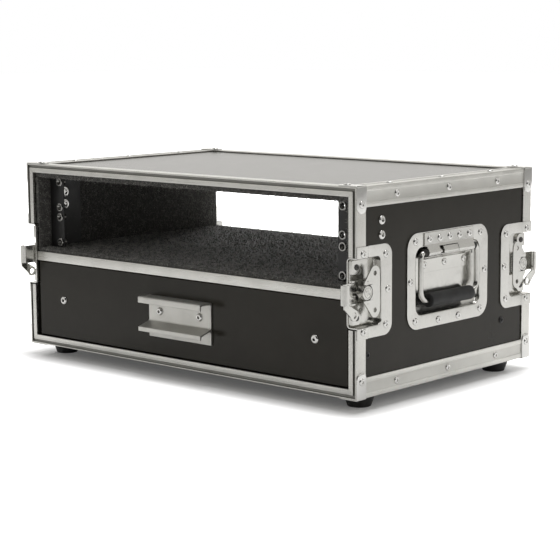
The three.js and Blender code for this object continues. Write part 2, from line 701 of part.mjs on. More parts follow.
// The pull's section in Y and Z: a plate with an upper flange and a sloped lower one, each with a lip
function pullOutline() {
  const { height, wall, reach, upperLip, lowerRoot, lowerDrop, lowerLip } = PULL;
  const back = drawerFace - FIT;
  const plate = back - wall;
  const tip = plate - reach;
  const lipBack = tip + wall;
  const top = pullLow + height;
  const root = pullLow + lowerRoot;
  const lipTop = root - lowerDrop;
  return [
    [back, pullLow], [back, top], [tip, top], [tip, top - upperLip], [lipBack, top - upperLip],
    [lipBack, top - 2 * wall], [lipBack + wall, top - wall], [plate - wall, top - wall],
    [plate, top - 2 * wall], [plate, root + wall], [plate - wall, root], [tip + wall, lipTop],
    [tip, lipTop - wall], [tip, lipTop - lowerLip], [lipBack, lipTop - lowerLip],
    [lipBack, lipTop - 2 * wall], [plate - wall, root - 2 * wall], [plate, root - 3 * wall], [plate, pullLow],
  ];
}

function drawerPull() {
  const plate = drawerFace - FIT - PULL.wall;
  const body = prism('x', pullOutline(), -PULL.width / 2, PULL.width / 2);
  const screws = evenly(2).map(i => {
    return panScrew(forwards, new THREE.Vector3(i * PULL.screwSpacing, plate, pullLow + PULL.screwRise));
  });
  return join([body, ...screws]);
}

// Recessed handle: pressed dish, hinge strap, wire bail and grip

// One skin of the pressed bowl, from its floor out to its rim, as rings of [x, y, z], with coved walls
function bowlRings(drop, grow) {
  const { depth, floorInset, floorInsetBelow, floorInsetAbove, openingCorner, floorCorner } = HANDLE;
  return Array.from({ length: BEND_STEPS + 1 }, (_, i) => {
    const angle = (i / BEND_STEPS) * (Math.PI / 2);
    const left = 1 - Math.sin(angle);
    const half = handleOpeningHalf + grow - floorInset * left;
    const low = handleOpeningLow - grow + floorInsetBelow * left;
    const high = handleOpeningHigh + grow - floorInsetAbove * left;
    const corner = openingCorner + grow + (floorCorner - openingCorner) * left;
    const x = handleFloor - drop + depth * (1 - Math.cos(angle));
    return roundedRect(-half, half, low, high, corner).map(([y, z]) => [x, y, z]);
  });
}

function handleDish() {
  const { width, height, corner, sheet } = HANDLE;
  const rim = roundedRect(-width / 2, width / 2, handleZ - height / 2, handleZ + height / 2, corner);
  const edge = x => rim.map(([y, z]) => [x, y, z]);
  const under = bowlRings(sheet, sheet).reverse();
  const dish = skin([...bowlRings(0, 0), edge(handleTop), edge(handleTop - sheet), ...under]);
  return join([dish, ...flangeRivets()]);
}

function flangeRivets() {
  const { topInset, topDrop, sideInset, bottomInset, bottomRise, middleRise, middlePitch } = HANDLE_RIVETS;
  const halfWidth = HANDLE.width / 2;
  const halfHeight = HANDLE.height / 2;
  const places = [
    [halfWidth - topInset, halfHeight - topDrop], [halfWidth - sideInset, 0],
    [halfWidth - bottomInset, bottomRise - halfHeight], [middlePitch / 2, middleRise - halfHeight],
  ];
  const points = places.flatMap(([y, z]) => [onHandle(handleTop, y, z), onHandle(handleTop, -y, z)]);
  return points.map(at => rivet(X, at));
}

function onHandle(x, y, z) {
  return new THREE.Vector3(x, y, handleZ + z);
}

// The bail hangs straight down from its rod, with the grip resting on the dish floor
const bailX = handleFloor + FIT + GRIP.radius;
const bailZ = handleOpeningHigh - BAIL.belowOpening;
const bailHalf = handleOpeningHalf - BAIL.sideRoom;
const gripZ = handleOpeningLow + BAIL.gripRise;
const strapHalf = handleOpeningHalf - STRAP_HINGE.sideRoom;
const knuckleHalf = bailHalf - BAIL.wire - STRAP_HINGE.springRoom;
const leafHalf = handleOpeningHalf - HANDLE.floorInset - STRAP_HINGE.leafRoom;
const knuckleWrap = BAIL.wire + STRAP_HINGE.clearance + STRAP_HINGE.thickness / 2;

// Hinge strap: riveted to the flange, bent out round the bail's rod and riveted to the dish floor
function hingeStrap() {
  const { thickness, topMargin, leafEnd, leafStart, shoulder, kneeRise } = STRAP_HINGE;
  const onFlange = handleTop + FIT + thickness / 2;
  const onFloor = handleFloor + FIT + thickness / 2;
  const slant = THREE.MathUtils.radToDeg(Math.asin(knuckleWrap / kneeRise));
  const line = [
    [onFlange, handleZ + HANDLE.height / 2 - topMargin], [onFlange, bailZ + kneeRise],
    ...arc(bailX, bailZ, knuckleWrap, slant, KNUCKLE_END_DEGREES, BEND_STEPS),
    [onFloor, handleZ + leafStart], [onFloor, handleZ + leafEnd],
  ];
  const strap = prism('y', sheetOutline(line, thickness), -strapHalf, strapHalf);
  const notch = (half, low, high) => {
    const right = box(handleFloor, bailX + knuckleWrap + OVERRUN, half, strapHalf + OVERRUN, low, high);
    return [right, mirrored(right, 1, -1)];
  };
  const leafTop = bailZ - shoulder;
  const knuckle = notch(knuckleHalf, leafTop, bailZ + shoulder);
  const leaf = notch(leafHalf, handleZ, leafTop);
  return join([cut(strap, [...knuckle, ...leaf, ...knuckleCuts()]), ...hingeRivets()]);
}

// The middle knuckle belongs to the leaf: a notch on one side of it, and slits above and beside it
function knuckleCuts() {
  const { centreStart, centreEnd, notchWidth, notchLow, slit, slitRise } = STRAP_HINGE;
  const reach = bailX + knuckleWrap + OVERRUN;
  const low = bailZ - notchLow;
  const high = bailZ + slitRise;
  return [
    box(bailX, reach, -centreStart, notchWidth - centreStart, low, high),
    box(bailX, reach, -centreStart, centreEnd + slit, high - slit, high),
    box(bailX, reach, centreEnd, centreEnd + slit, low, high),
  ];
}

function hingeRivets() {
  const { strapEnd, strapDrop, leafEnd, leafRise } = HANDLE_RIVETS;
  const proud = FIT + STRAP_HINGE.thickness;
  const strapPitch = (2 * (strapHalf - strapEnd)) / (STRAP_RIVETS - 1);
  const leafPitch = (2 * (leafHalf - leafEnd)) / (LEAF_RIVETS - 1);
  const strapZ = HANDLE.height / 2 - strapDrop;
  const leafZ = STRAP_HINGE.leafEnd + leafRise;
  const upper = evenly(STRAP_RIVETS).map(i => onHandle(handleTop + proud, i * strapPitch, strapZ));
  const lower = evenly(LEAF_RIVETS).map(i => onHandle(handleFloor + proud, i * leafPitch, leafZ));
  return [...upper, ...lower].map(at => rivet(X, at));
}

// Bail: a wire loop whose top side is the hinge rod, with a torsion spring wound on each end of it
function bail() {
  const { wire: radius, bend, topBend } = BAIL;
  const upperY = bailHalf - topBend;
  const lowerY = bailHalf - bend;
  const upper = (sy, from, to) => arc(sy * upperY, bailZ - topBend, topBend, from, to, BEND_STEPS);
  const lower = (sy, from, to) => arc(sy * lowerY, gripZ + bend, bend, from, to, BEND_STEPS);
  const outline = [
    [radius / 2, bailZ], ...upper(1, 90, 0), ...lower(1, 0, -90), ...lower(-1, 270, 180),
    ...upper(-1, 180, 90), [-radius / 2, bailZ],
  ];
  const loop = wire(outline.map(([y, z]) => new THREE.Vector3(bailX, y, z)), radius, WIRE_SIDES);
  const middle = new THREE.Vector3(bailX, 0, bailZ);
  const rodJoint = rod(Y, middle, radius * ROD_JOINT_SHARE, -radius, radius, WIRE_SIDES);
  const springs = [1, -1].map(sy => mirrored(torsionSpring(), 1, sy));
  return join([loop, rodJoint, ...springs]);
}

// The spring's wire just sinks into the rod, which carries it
function torsionSpring() {
  const { wire: radius, pitch, sunk, endClearance } = SPRING;
  const coil = BAIL.wire + radius - sunk;
  const from = knuckleHalf + endClearance + radius;
  const steps = SPRING_TURNS * COIL_STEPS;
  const points = Array.from({ length: steps + 1 }, (_, i) => {
    const angle = (i / COIL_STEPS) * Math.PI * 2;
    return new THREE.Vector3(
      bailX + coil * Math.cos(angle), from + (pitch * i) / COIL_STEPS, bailZ + coil * Math.sin(angle),
    );
  });
  console.log(`spring: least gap between turns ${leastGap(points, radius).toFixed(2)} mm`);
  return helixWire(points, radius, new THREE.Vector3(bailX, 0, bailZ));
}

function leastGap(points, radius) {
  const gaps = points.flatMap((a, i) => points.slice(i + COIL_STEPS / 2).map(b => a.distanceTo(b)));
  return Math.min(...gaps) - 2 * radius;
}

// A wire wound round the Y axis through a point: each ring lies in the plane through that axis
function helixWire(points, radius, centre) {
  const rings = points.map(point => {
    const out = point.clone().sub(centre).setY(0).normalize();
    return circle(0, 0, radius, COIL_SIDES).map(([u, v]) => {
      return point.clone().addScaledVector(out, u).addScaledVector(Y, v).toArray();
    });
  });
  return skin(rings);
}

function grip() {
  const { radius, edge } = GRIP;
  const bore = BAIL.wire + FIT;
  const half = bailHalf - BAIL.bend - FIT;
  const profile = [
    [bore, -half], [radius - edge, -half], [radius, edge - half], [radius, half - edge],
    [radius - edge, half], [bore, half], [bore, -half],
  ];
  return turned(profile, Y, new THREE.Vector3(bailX, 0, gripZ), GRIP_SIDES);
}

function addHandles() {
  const pieces = [
    ['dish', handleDish(), 'chrome'], ['hinge_strap', hingeStrap(), 'chrome'], ['bail', bail(), 'chrome'],
    ['grip', grip(), 'rubber'],
  ];
  for (const sx of [1, -1]) {
    for (const [piece, geometry, finishName] of pieces) {
      add(`${sideName(sx)}_handle_${piece}`, mirrored(geometry, sx, 1), finishName);
    }
  }
}

// Recessed butterfly latch of the front right corner

const pivotY = frontY + LATCH.pivot;
const pinX = sideX - HUB.axisDepth;
const latchTopX = sideX + FIT;
const latchLowX = panelX + FIT;
const plateX = latchLowX + LATCH.sheet + PLATE.lift;
const basePlateTop = latchFloor + BASE.thickness;
const hookX = basePlateTop + FIT;
const discX = hookX + HOOK.thickness + HUB.discGap;
const hubTop = sideX + HUB.proud;
const barrelLow = HUB.radius + PLATE.hubGap;
const barrelHigh = barrelLow + PLATE.barrelLength;
const crankRoom = HUB.crank + HUB.crankPin + FIT;
const hookHalf = crankRoom + HOOK.slotWall;

// The flange steps down from over the lid frame to the panel
function latchFlange() {
  const { length, height, corner, sheet, front, stepStart, stepLength } = LATCH;
  const overFrame = latchTopX + sheet / 2;
  const onPanel = latchLowX + sheet / 2;
  const line = [
    [overFrame, frontY + front], [overFrame, frontY + stepStart],
    [onPanel, frontY + stepStart + stepLength], [onPanel, frontY + length],
  ];
  const z0 = latchZ - height / 2;
  const z1 = latchZ + height / 2;
  const reach = latchTopX + sheet + OVERRUN;
  const outline = roundedRect(frontY - length, frontY + length, z0, z1, corner);
  const bent = prism('z', sheetOutline(line, sheet), z0, z1);
  const trimmed = common(bent, prism('x', outline, latchFloor, reach));
  const low = latchZ - latchOpeningHalf;
  const high = latchZ + latchOpeningHalf;
  const hole = box(latchFloor, reach, frontY - OVERRUN, frontY + latchOpening, low, high);
  return cut(trimmed, [hole]);
}

function latchTray() {
  const { sheet, front, openingCorner, stepStart, stepLength } = LATCH;
  const top = latchTopX + sheet / 2;
  const trayBox = (grow, x) => {
    const half = latchOpeningHalf + grow;
    const back = frontY + latchOpening + grow;
    const corner = openingCorner + grow;
    const outline = roundedRect(
      frontY - latchOpening, back, latchZ - half, latchZ + half, corner, TRAY_CORNER_STEPS,
    );
    return prism('x', outline, x, top);
  };
  const shell = cut(trayBox(sheet, latchBack), [trayBox(0, latchFloor)]);
  const high = latchZ + latchOpeningHalf + sheet + OVERRUN;
  const low = latchZ - latchOpeningHalf - sheet - OVERRUN;
  const above = top + OVERRUN;
  const ahead = box(latchBack - OVERRUN, above, frontY - latchOpening - OVERRUN, frontY + front, low, high);
  const stepEnd = frontY + latchOpening + sheet + OVERRUN;
  const onPanel = latchLowX + sheet / 2;
  const step = prism('z', [
    [above, frontY + stepStart], [top, frontY + stepStart], [onPanel, frontY + stepStart + stepLength],
    [onPanel, stepEnd], [above, stepEnd],
  ], low, high);
  return cut(shell, [ahead, step]);
}

// Base plate with two guides for the hook, and a chamfered ear with a screw at each end
function latchBase() {
  const { thickness, backGap, guideWidth, guideHeight } = BASE;
  const y0 = frontY + LATCH.front + LATCH.sheet;
  const y1 = frontY + latchOpening - backGap;
  const half = latchOpeningHalf - LATCH.sheet;
  const plate = box(latchFloor - LATCH.sheet / 2, basePlateTop, y0, y1, latchZ - half, latchZ + half);
  const root = basePlateTop - thickness / 2;
  const top = basePlateTop + guideHeight;
  const guide = box(root, top, y0, y1, hookHalf + FIT, hookHalf + FIT + guideWidth);
  const ends = [guide, latchEar(root, top, y0)];
  const uprights = ends.flatMap(piece => [piece, mirrored(piece, 1, 1, -1)]);
  return [plate, ...uprights.map(piece => piece.clone().translate(0, 0, latchZ))];
}

function latchEar(root, top, y0) {
  const { earLength, earHeight, earRise, earChamfer } = BASE;
  const y1 = y0 + earLength;
  const z1 = earRise + earHeight;
  const outline = [
    [y0, earRise], [y1 - earChamfer, earRise], [y1, earRise + earChamfer], [y1, z1 - earChamfer],
    [y1 - earChamfer, z1], [y0, z1],
  ];
  const at = new THREE.Vector3(0, (y0 + y1) / 2, (earRise + z1) / 2);
  const screw = rod(X, at, SCREW.radius, top - ROOT, top + SCREW.height / 2, RIVET_SIDES);
  return join([prism('x', outline, root, top), screw]);
}

function latchDish() {
  return join([latchFlange(), latchTray(), ...latchBase(), ...latchRivets()]);
}

// Hub: a disc with a driver slot, on a post through the hook, with the crank pin under it and the pin
// that the butterfly plate folds on
function latchHub() {
  const { radius, chamfer, post, crank, crankPin, hingePin, slotWidth, slotDepth, slotHalf } = HUB;
  const at = new THREE.Vector3(0, pivotY, latchZ);
  const profile = [
    [0, hookX], [post, hookX], [post, discX], [radius, discX], [radius, hubTop - chamfer],
    [radius - chamfer, hubTop], [0, hubTop],
  ];
  const drum = turned(profile, X, at);
  const crankAt = new THREE.Vector3(0, pivotY - crank, latchZ);
  const crankBody = rod(X, crankAt, crankPin, hookX, discX + ROOT, RIVET_SIDES);
  const axleAt = new THREE.Vector3(pinX, pivotY, latchZ);
  const axle = rod(Z, axleAt, hingePin, -barrelHigh, barrelHigh, RIVET_SIDES);
  const slot = box(
    hubTop - slotDepth, hubTop + OVERRUN, pivotY - slotWidth / 2, pivotY + slotWidth / 2, latchZ - slotHalf,
    latchZ + slotHalf,
  );
  return cut(join([drum, crankBody, axle]), [slot]);
}

function butterflyOutline() {
  const { reach, backHalf, lobeY, lobe, ear } = PLATE;
  const round = arc(lobeY, lobeZ(), lobe, 0, LOBE_END_DEGREES, ROUND_END_STEPS);
  const upper = [[reach, backHalf], ...round, [-ear, barrelHigh]];
  const lower = upper.map(([y, z]) => [y, -z]).reverse();
  return [...upper, ...lower].map(([y, z]) => [pivotY + y, latchZ + z]);
}

function lobeZ() {
  return barrelLow + PLATE.lobePast + PLATE.lobe;
}

function butterflyPlate() {
  const { thickness, lobeY, hole, ear, barrel, pinPlay } = PLATE;
  const from = plateX - OVERRUN;
  const to = plateX + thickness + OVERRUN;
  const sheet = prism('x', butterflyOutline(), plateX, plateX + thickness);
  const clear = rod(X, new THREE.Vector3(0, pivotY, latchZ), barrelLow, from, to);
  const ahead = box(from, to, pivotY - ear - OVERRUN, pivotY, latchZ - barrelLow, latchZ + barrelLow);
  const holes = [lobeZ(), -lobeZ()].map(z => {
    return rod(X, new THREE.Vector3(0, pivotY + lobeY, latchZ + z), hole, from, to, INSERT_SIDES);
  });
  const pinAt = new THREE.Vector3(pinX, pivotY, latchZ);
  const barrels = [[barrelLow, barrelHigh], [-barrelHigh, -barrelLow]].map(([low, high]) => {
    return rod(Z, pinAt, barrel, low, high, INSERT_SIDES);
  });
  const reach = barrelHigh + OVERRUN;
  const bore = rod(Z, pinAt, HUB.hingePin + pinPlay, -reach, reach, INSERT_SIDES);
  return cut(join([cut(sheet, [clear, ahead, ...holes]), ...barrels]), [bore]);
}

// Hook: a flat arm with a cross slot for the crank pin and a long one for the post, a curled front
// and an eye
function latchHook() {
  const { thickness, reach, curl, tipRise, tipTurn, tailWall, slotPlay } = HOOK;
  const post = HUB.post + FIT;
  const armX = hookX + thickness / 2;
  const tipY = frontY - reach + thickness / 2;
  const line = [
    [armX, pivotY + post + tailWall], [armX, tipY + curl],
    ...arc(armX + curl, tipY + curl, curl, CURL_FROM_DEGREES, CURL_TO_DEGREES, BEND_STEPS).slice(1),
    [armX + 2 * curl - tipTurn, tipY + curl + tipRise],
  ];
  const hook = prism('z', sheetOutline(line, thickness), latchZ - hookHalf, latchZ + hookHalf);
  const from = hookX - OVERRUN;
  const to = hookX + thickness + OVERRUN;
  const across = HUB.crankPin + slotPlay;
  const crankY = pivotY - HUB.crank;
  const crossSlot = box(from, to, crankY - across, crankY + across, latchZ - crankRoom, latchZ + crankRoom);
  const postSlot = box(from, to, pivotY - 2 * HUB.crank - post, pivotY + post, latchZ - post, latchZ + post);
  return join([cut(hook, [crossSlot, postSlot]), padlockEye(armX + 2 * curl)]);
}

function padlockEye(tipX) {
  const { below, radius, bore, thickness, from, neck } = EYE;
  const eyeY = frontY + from;
  const hookLow = latchZ - hookHalf;
  const eyeZ = hookLow - below;
  const at = new THREE.Vector3(0, eyeY, eyeZ);
  const x1 = tipX - thickness / 2;
  const x0 = x1 - thickness;
  const y0 = frontY - HOOK.reach + thickness / 2;
  const neckLine = [
    [y0, hookLow + neck], [y0, hookLow - neck], [eyeY - radius, eyeZ], [eyeY, eyeZ + radius],
    [y0 + 2 * neck, hookLow], [y0 + 2 * neck, hookLow + neck],
  ];
  const disc = rod(X, at, radius, x0, x1, EYE_SIDES);
  const hole = rod(X, at, bore, x0 - OVERRUN, x1 + OVERRUN, INSERT_SIDES);
  return cut(join([prism('x', neckLine, x0, x1), disc]), [hole]);
}

function latchRivets() {
  const { frontInset, endRise, cornerInset, cornerRise, backInset } = LATCH_RIVETS;
  const high = latchTopX + LATCH.sheet;
  const low = latchLowX + LATCH.sheet;
  const front = [high, frontY + frontInset, LATCH.height / 2 - endRise];
  const corner = [low, frontY + LATCH.length - cornerInset, LATCH.height / 2 - cornerRise];
  const paired = [front, corner].flatMap(([x, y, z]) => [[x, y, z], [x, y, -z]]);
  const places = [...paired, [low, frontY + LATCH.length - backInset, 0]];
  return places.map(([x, y, z]) => rivet(X, new THREE.Vector3(x, y, latchZ + z)));
}

function addLatches() {
  const pieces = [
    ['dish', latchDish(), 'chrome'], ['hub', latchHub(), 'chrome'], ['butterfly', butterflyPlate(), 'chrome'],
    ['hook', latchHook(), 'chrome'],
  ];
  for (const [sx, sy] of CORNERS) {
    for (const [piece, geometry, finishName] of pieces) {
      add(`${endName(sy)}_${sideName(sx)}_latch_${piece}`, mirrored(geometry, sx, -sy), finishName);
    }
  }
}

addShell();
addShelf();
addLining();
addEdges();
addRack();
addFeet();
addSlides();
addDrawer();
addHandles();
addLatches();

export default model;
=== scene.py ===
"""A short 19 inch rack road case with one drawer, finished around its frame.

Lengths are millimetres in the case's own coordinates until a mesh is made: X to the right seen from
the front, Y to the rear, and Z up from the underside of the case body, which stands on its feet.
"""
import math

import bmesh
import bpy
from mathutils import Matrix, Vector


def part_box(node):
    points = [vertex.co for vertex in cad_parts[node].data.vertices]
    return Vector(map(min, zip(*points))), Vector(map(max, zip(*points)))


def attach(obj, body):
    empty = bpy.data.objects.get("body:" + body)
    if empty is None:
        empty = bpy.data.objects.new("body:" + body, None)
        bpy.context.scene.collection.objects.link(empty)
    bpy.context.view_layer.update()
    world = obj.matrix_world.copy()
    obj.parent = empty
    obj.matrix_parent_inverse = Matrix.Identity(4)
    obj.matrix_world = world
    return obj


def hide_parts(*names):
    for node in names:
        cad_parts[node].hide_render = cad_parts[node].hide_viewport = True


bl_info = {
    "name": "Road case with drawer",
    "version": (1, 0, 0),
    "blender": (4, 5, 0),
    "location": "View3D > Sidebar > Road case",
    "description": "Makes the finished pieces of a short rack road case",
    "category": "Add Mesh",
}

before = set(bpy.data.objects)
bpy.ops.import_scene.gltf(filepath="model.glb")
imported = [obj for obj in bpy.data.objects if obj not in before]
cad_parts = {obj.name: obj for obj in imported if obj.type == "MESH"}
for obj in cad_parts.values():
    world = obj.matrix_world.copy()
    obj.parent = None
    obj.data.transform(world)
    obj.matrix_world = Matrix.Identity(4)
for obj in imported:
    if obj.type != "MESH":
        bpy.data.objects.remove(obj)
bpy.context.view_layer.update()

MM = 0.001
FIT = 0.3
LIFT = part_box("front_right_foot")[1].z / MM + FIT


def span(node):
    """Lowest and highest corner of a frame node in the case's own millimetres."""
    low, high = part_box(node)
    lift = Vector((0, 0, LIFT))
    return low / MM - lift, high / MM - lift


# Planes of the case that its cladding follows
CLADDING = 1.8
SIDE_X = span("right_panel")[1].x + CLADDING
TOP_Z = span("top_panel")[1].z + CLADDING
FRONT_Y = span("front_lid_frame_upper")[0].y
PANEL_X = span("right_panel")[1].x
MIDDLE_Z = TOP_Z / 2

# Lid frame extrusion
FACE, WALL, FLANGE, RIDGE, GROOVE, GROOVE_DEPTH = 10.8, 1.5, 16.5, 1.6, 3.2, 2.4
SEAM = 0.12

# Edge angle. The last value is how much of the frame groove's painted shade the recessed channel between its
# bands gets
ANGLE_LEG, OUTER_BAND, INNER_BAND, BAND_RISE = 22.5, 5.5, 5.5, 0.4
ANGLE_PAINTED_SHADE = 0.22
ANGLE_RIVET_INSET, ANGLE_RIVET_PITCH = 11.3, 94.5

# Corner strap and its rivets
STRAP_INSET, STRAP_RIVET, STRAP_BEND = 0.4, 19.0, 1.8
STRAP_MIDDLE, STRAP_PROUD = 7.9, 1.2

# Recessed handle
DISH_SHEET = 1.2
DISH_LOW, DISH_HIGH = span("right_handle_dish")
DISH_TOP = PANEL_X + FIT + DISH_SHEET
DISH_FLOOR = DISH_LOW.x + DISH_SHEET
HANDLE_Z = (DISH_LOW.z + DISH_HIGH.z) / 2
HANDLE_HALF_WIDTH, HANDLE_HALF_HEIGHT, HANDLE_CORNER = DISH_HIGH.y, (DISH_HIGH.z - DISH_LOW.z) / 2, 18.0
BOWL_HALF, BOWL_LOW, BOWL_HIGH, BOWL_CORNER = DISH_HIGH.y - 16, DISH_LOW.z + 15.8, DISH_HIGH.z - 17.5, 10.0
FLOOR_INSET, FLOOR_INSET_BELOW, FLOOR_INSET_ABOVE = 16.0, 12.0, 6.0
BAIL_X, BAIL_Z, BAIL_HALF = DISH_FLOOR + 8.5, BOWL_HIGH - 6.2, BOWL_HALF - 7
BAIL_BEND, BAIL_TOP_BEND = 12.5, 5.0
GRIP_Z = BOWL_LOW + 15

# Strap that the bail hangs in, with its leaf on the dish's floor
STRAP_SHEET, STRAP_HALF, KNUCKLE_HALF, LEAF_HALF = 1.2, BOWL_HALF - 13.5, BAIL_HALF - 10, BOWL_HALF - 17.5
STRAP_TOP, LEAF_START, LEAF_END = DISH_HIGH.z - 1, HANDLE_Z + 22, HANDLE_Z + 7
STRAP_RIVET_Z, LEAF_RIVET_Z = DISH_HIGH.z - 8.5, LEAF_END + 9

# Recessed butterfly latch, front right, with distances back from the front plane
LATCH_Z = 115.0
LATCH_HALF, LATCH_BACK = 37.0, 43.0
LATCH_FLOOR = span("front_right_latch_dish")[0].x + DISH_SHEET
LATCH_HIGH = SIDE_X + FIT + DISH_SHEET
PIVOT = 17.6
PIN_X = SIDE_X - 0.1
BASE_TOP = LATCH_FLOOR + 2.0
HOOK_X = BASE_TOP + 0.3
DISC_X = HOOK_X + 2.3
PLATE_X = DISH_TOP + 0.4
HUB_TOP = 271.0

# Rack rail with its inserts and bolts, right
RAIL_SHEET, RAIL_OUTER, RAIL_BACK, RAIL_DEPTH = 1.5, 252.1, 22.0, 50
INSERT_X, INSERT_HEIGHTS = 232.55, (6.35, 38.1, 50.8, 82.55)
RAIL_BOLT_BACK, RAIL_BOLT_HEIGHTS = 45, (51.5, 67.5)
SLIDE_BOLTS = [(271.8, 51.7), (20.3, 46.5)]

# Drawer's front and pull
DRAWER_FACE = FRONT_Y + 4.0
DRAWER_SCREW_X, DRAWER_SCREW_Z = 208.0, 59.5
PULL_HALF, PULL_BACK, PULL_FACE = 51.5, FRONT_Y + 3.7, FRONT_Y + 1.7
PULL_SCREW_X, PULL_SCREW_Z = 33.0, 64.5

# Carpet
FELT_PITCH, FIBRE_THICKNESS, FIBRE_LEAN = 9.0, 0.3, 1.1

CORNERS = [(1, -1), (1, 1), (-1, -1), (-1, 1)]
SIDE_NAME = {1: "right", -1: "left"}
END_NAME = {-1: "front", 1: "rear"}
X, Y, Z = Vector((1, 0, 0)), Vector((0, 1, 0)), Vector((0, 0, 1))


# Outlines


def arc(a, b, radius, start, end, steps):
    """Points on an arc, with angles in degrees."""
    angles = [math.radians(start + (end - start) * i / steps) for i in range(steps + 1)]
    return [(a + radius * math.cos(t), b + radius * math.sin(t)) for t in angles]


def circle(a, b, radius, sides):
    return arc(a, b, radius, 0, 360 * (sides - 1) / sides, sides - 1)


def rounded_box(a0, a1, b0, b1, radius, steps):
    """A rectangle's outline with round corners."""
    return (
        arc(a1 - radius, b0 + radius, radius, -90, 0, steps)
        + arc(a1 - radius, b1 - radius, radius, 0, 90, steps)
        + arc(a0 + radius, b1 - radius, radius, 90, 180, steps)
        + arc(a0 + radius, b0 + radius, radius, 180, 270, steps)
    )


def filleted(outline, radius, steps=4, closed=True):
    """The outline with each corner rounded, as far as its two sides allow."""
    result = []
    last = len(outline) - 1
    longest_share = 0.45
    for i, point in enumerate(outline):
        corner = Vector(point)
        back = Vector(outline[i - 1]) - corner
        onward = Vector(outline[(i + 1) % len(outline)]) - corner
        at_end = not closed and i in (0, last)
        if at_end or abs(back.angle(-onward)) < 0.02:
            result.append(tuple(corner))
            continue
        half = back.angle(onward) / 2
        reach = min(radius / math.tan(half), longest_share * min(back.length, onward.length))
        size = reach * math.tan(half)
        centre = corner + (back.normalized() + onward.normalized()).normalized() * size / math.sin(half)
        first = corner + back.normalized() * reach - centre
        final = corner + onward.normalized() * reach - centre
        for step in range(steps + 1):
            share = step / steps
            direction = first.lerp(final, share).normalized()
            result.append(tuple(centre + direction * size))
    return result


def sheet_outline(line, thickness):
    """The closed outline of sheet metal that follows a line."""
    left, right = [], []
    for i, point in enumerate(line):
        here = Vector(point)
        arrive = (here - Vector(line[i - 1])).normalized() if i else None
        leave = (Vector(line[i + 1]) - here).normalized() if i + 1 < len(line) else arrive
        arrive = arrive or leave
        along = (arrive + leave).normalized()
        half = thickness / 2 / along.dot(arrive)
        across = Vector((-along.y, along.x)) * half
        left.append(tuple(here + across))
        right.append(tuple(here - across))
    return left + right[::-1]


# Shapes: a list of points and a list of faces


def skin(rings):
    """A skin over rings with as many points each, capped at both ends."""
    count, last = len(rings[0]), (len(rings) - 1) * len(rings[0])
    points = [tuple(p) for ring in rings for p in ring]
    faces = []
    for low in range(0, last, count):
        high = low + count
        for i in range(count):
            j = (i + 1) % count
            faces.append((low + i, low + j, high + j, high + i))
    faces += [tuple(range(count)), tuple(range(last, last + count))]
    return points, faces


def prism(axis, outline, low, high):
    """An outline in the two other axes, in the order X, Y, Z, carried along one axis."""
    place = {
        "x": lambda a, b, c: (c, a, b),
        "y": lambda a, b, c: (a, c, b),
        "z": lambda a, b, c: (a, b, c),
    }[axis]
    return skin([[place(a, b, level) for a, b in outline] for level in (low, high)])


def block(x0, x1, y0, y1, z0, z1):
    return prism("z", [(x0, y0), (x1, y0), (x1, y1), (x0, y1)], z0, z1)


def basis(axis):
    """Two unit vectors square to an axis and to each other."""
    axis = Vector(axis)
    side = axis.orthogonal().normalized()
    return side, axis.cross(side).normalized()


def turned(profile, axis, at, sides):
    """A profile of (radius, height) turned round an axis through a point. It may close on the axis."""
    side, third = basis(axis)
    axis, at = Vector(axis), Vector(at)
    rings, points, faces = [], [], []
    for radius, height in profile:
        centre = at + axis * height
        if radius == 0:
            rings.append([len(points)])
            points.append(tuple(centre))
            continue
        rings.append(list(range(len(points), len(points) + sides)))
        for i in range(sides):
            turn = 2 * math.pi * i / sides
            points.append(tuple(centre + (side * math.cos(turn) + third * math.sin(turn)) * radius))
    if profile[0][0] and profile[-1][0]:
        rings.append(rings[0])
    for low, high in zip(rings, rings[1:]):
        for i in range(sides):
            j = (i + 1) % sides
            face = [low[i % len(low)], low[j % len(low)], high[j % len(high)], high[i % len(high)]]
            faces.append(tuple(dict.fromkeys(face)))
    return points, faces


def rod(axis, at, radius, low, high, sides=40):
    return turned([(0, low), (radius, low), (radius, high), (0, high)], axis, at, sides)


def tube(points, radius, sides, up=X):
    """A round wire along points."""
    rings = []
    path = [Vector(p) for p in points]
    for i, here in enumerate(path):
        before, after = path[max(i - 1, 0)], path[min(i + 1, len(path) - 1)]
        along = (after - before).normalized()
        lift = (up - along * up.dot(along)).normalized()
        across = along.cross(lift)
        rings.append([here + lift * a + across * b for a, b in circle(0, 0, radius, sides)])
    return skin(rings)


def mapped(shape, u, v, w, origin):
    """A shape in local coordinates laid along three directions from an origin."""
    points, faces = shape
    place = Matrix((u, v, w)).transposed()
    return [tuple(Vector(origin) + place @ Vector(p)) for p in points], faces


def flipped(shape, sx, sy=1, sz=1):
    """A shape mirrored in the middle planes of the case."""
    points, faces = shape
    turn = [(x * sx, y * sy, z if sz > 0 else TOP_Z - z) for x, y, z in points]
    return turn, faces


def joined(shapes):
    points, faces = [], []
    for some_points, some_faces in shapes:
        start = len(points)
        points += some_points
        faces += [tuple(i + start for i in face) for face in some_faces]
    return points, faces


# Objects


def new_object(name, mesh):
    obj = bpy.data.objects.new(name, mesh)
    bpy.context.scene.collection.objects.link(obj)
    return obj


def raw_mesh(name, shape, lift=LIFT):
    points, faces = shape
    mesh = bpy.data.meshes.new(name)
    mesh.from_pydata([(x * MM, y * MM, (z + lift) * MM) for x, y, z in points], [], faces)
    return mesh


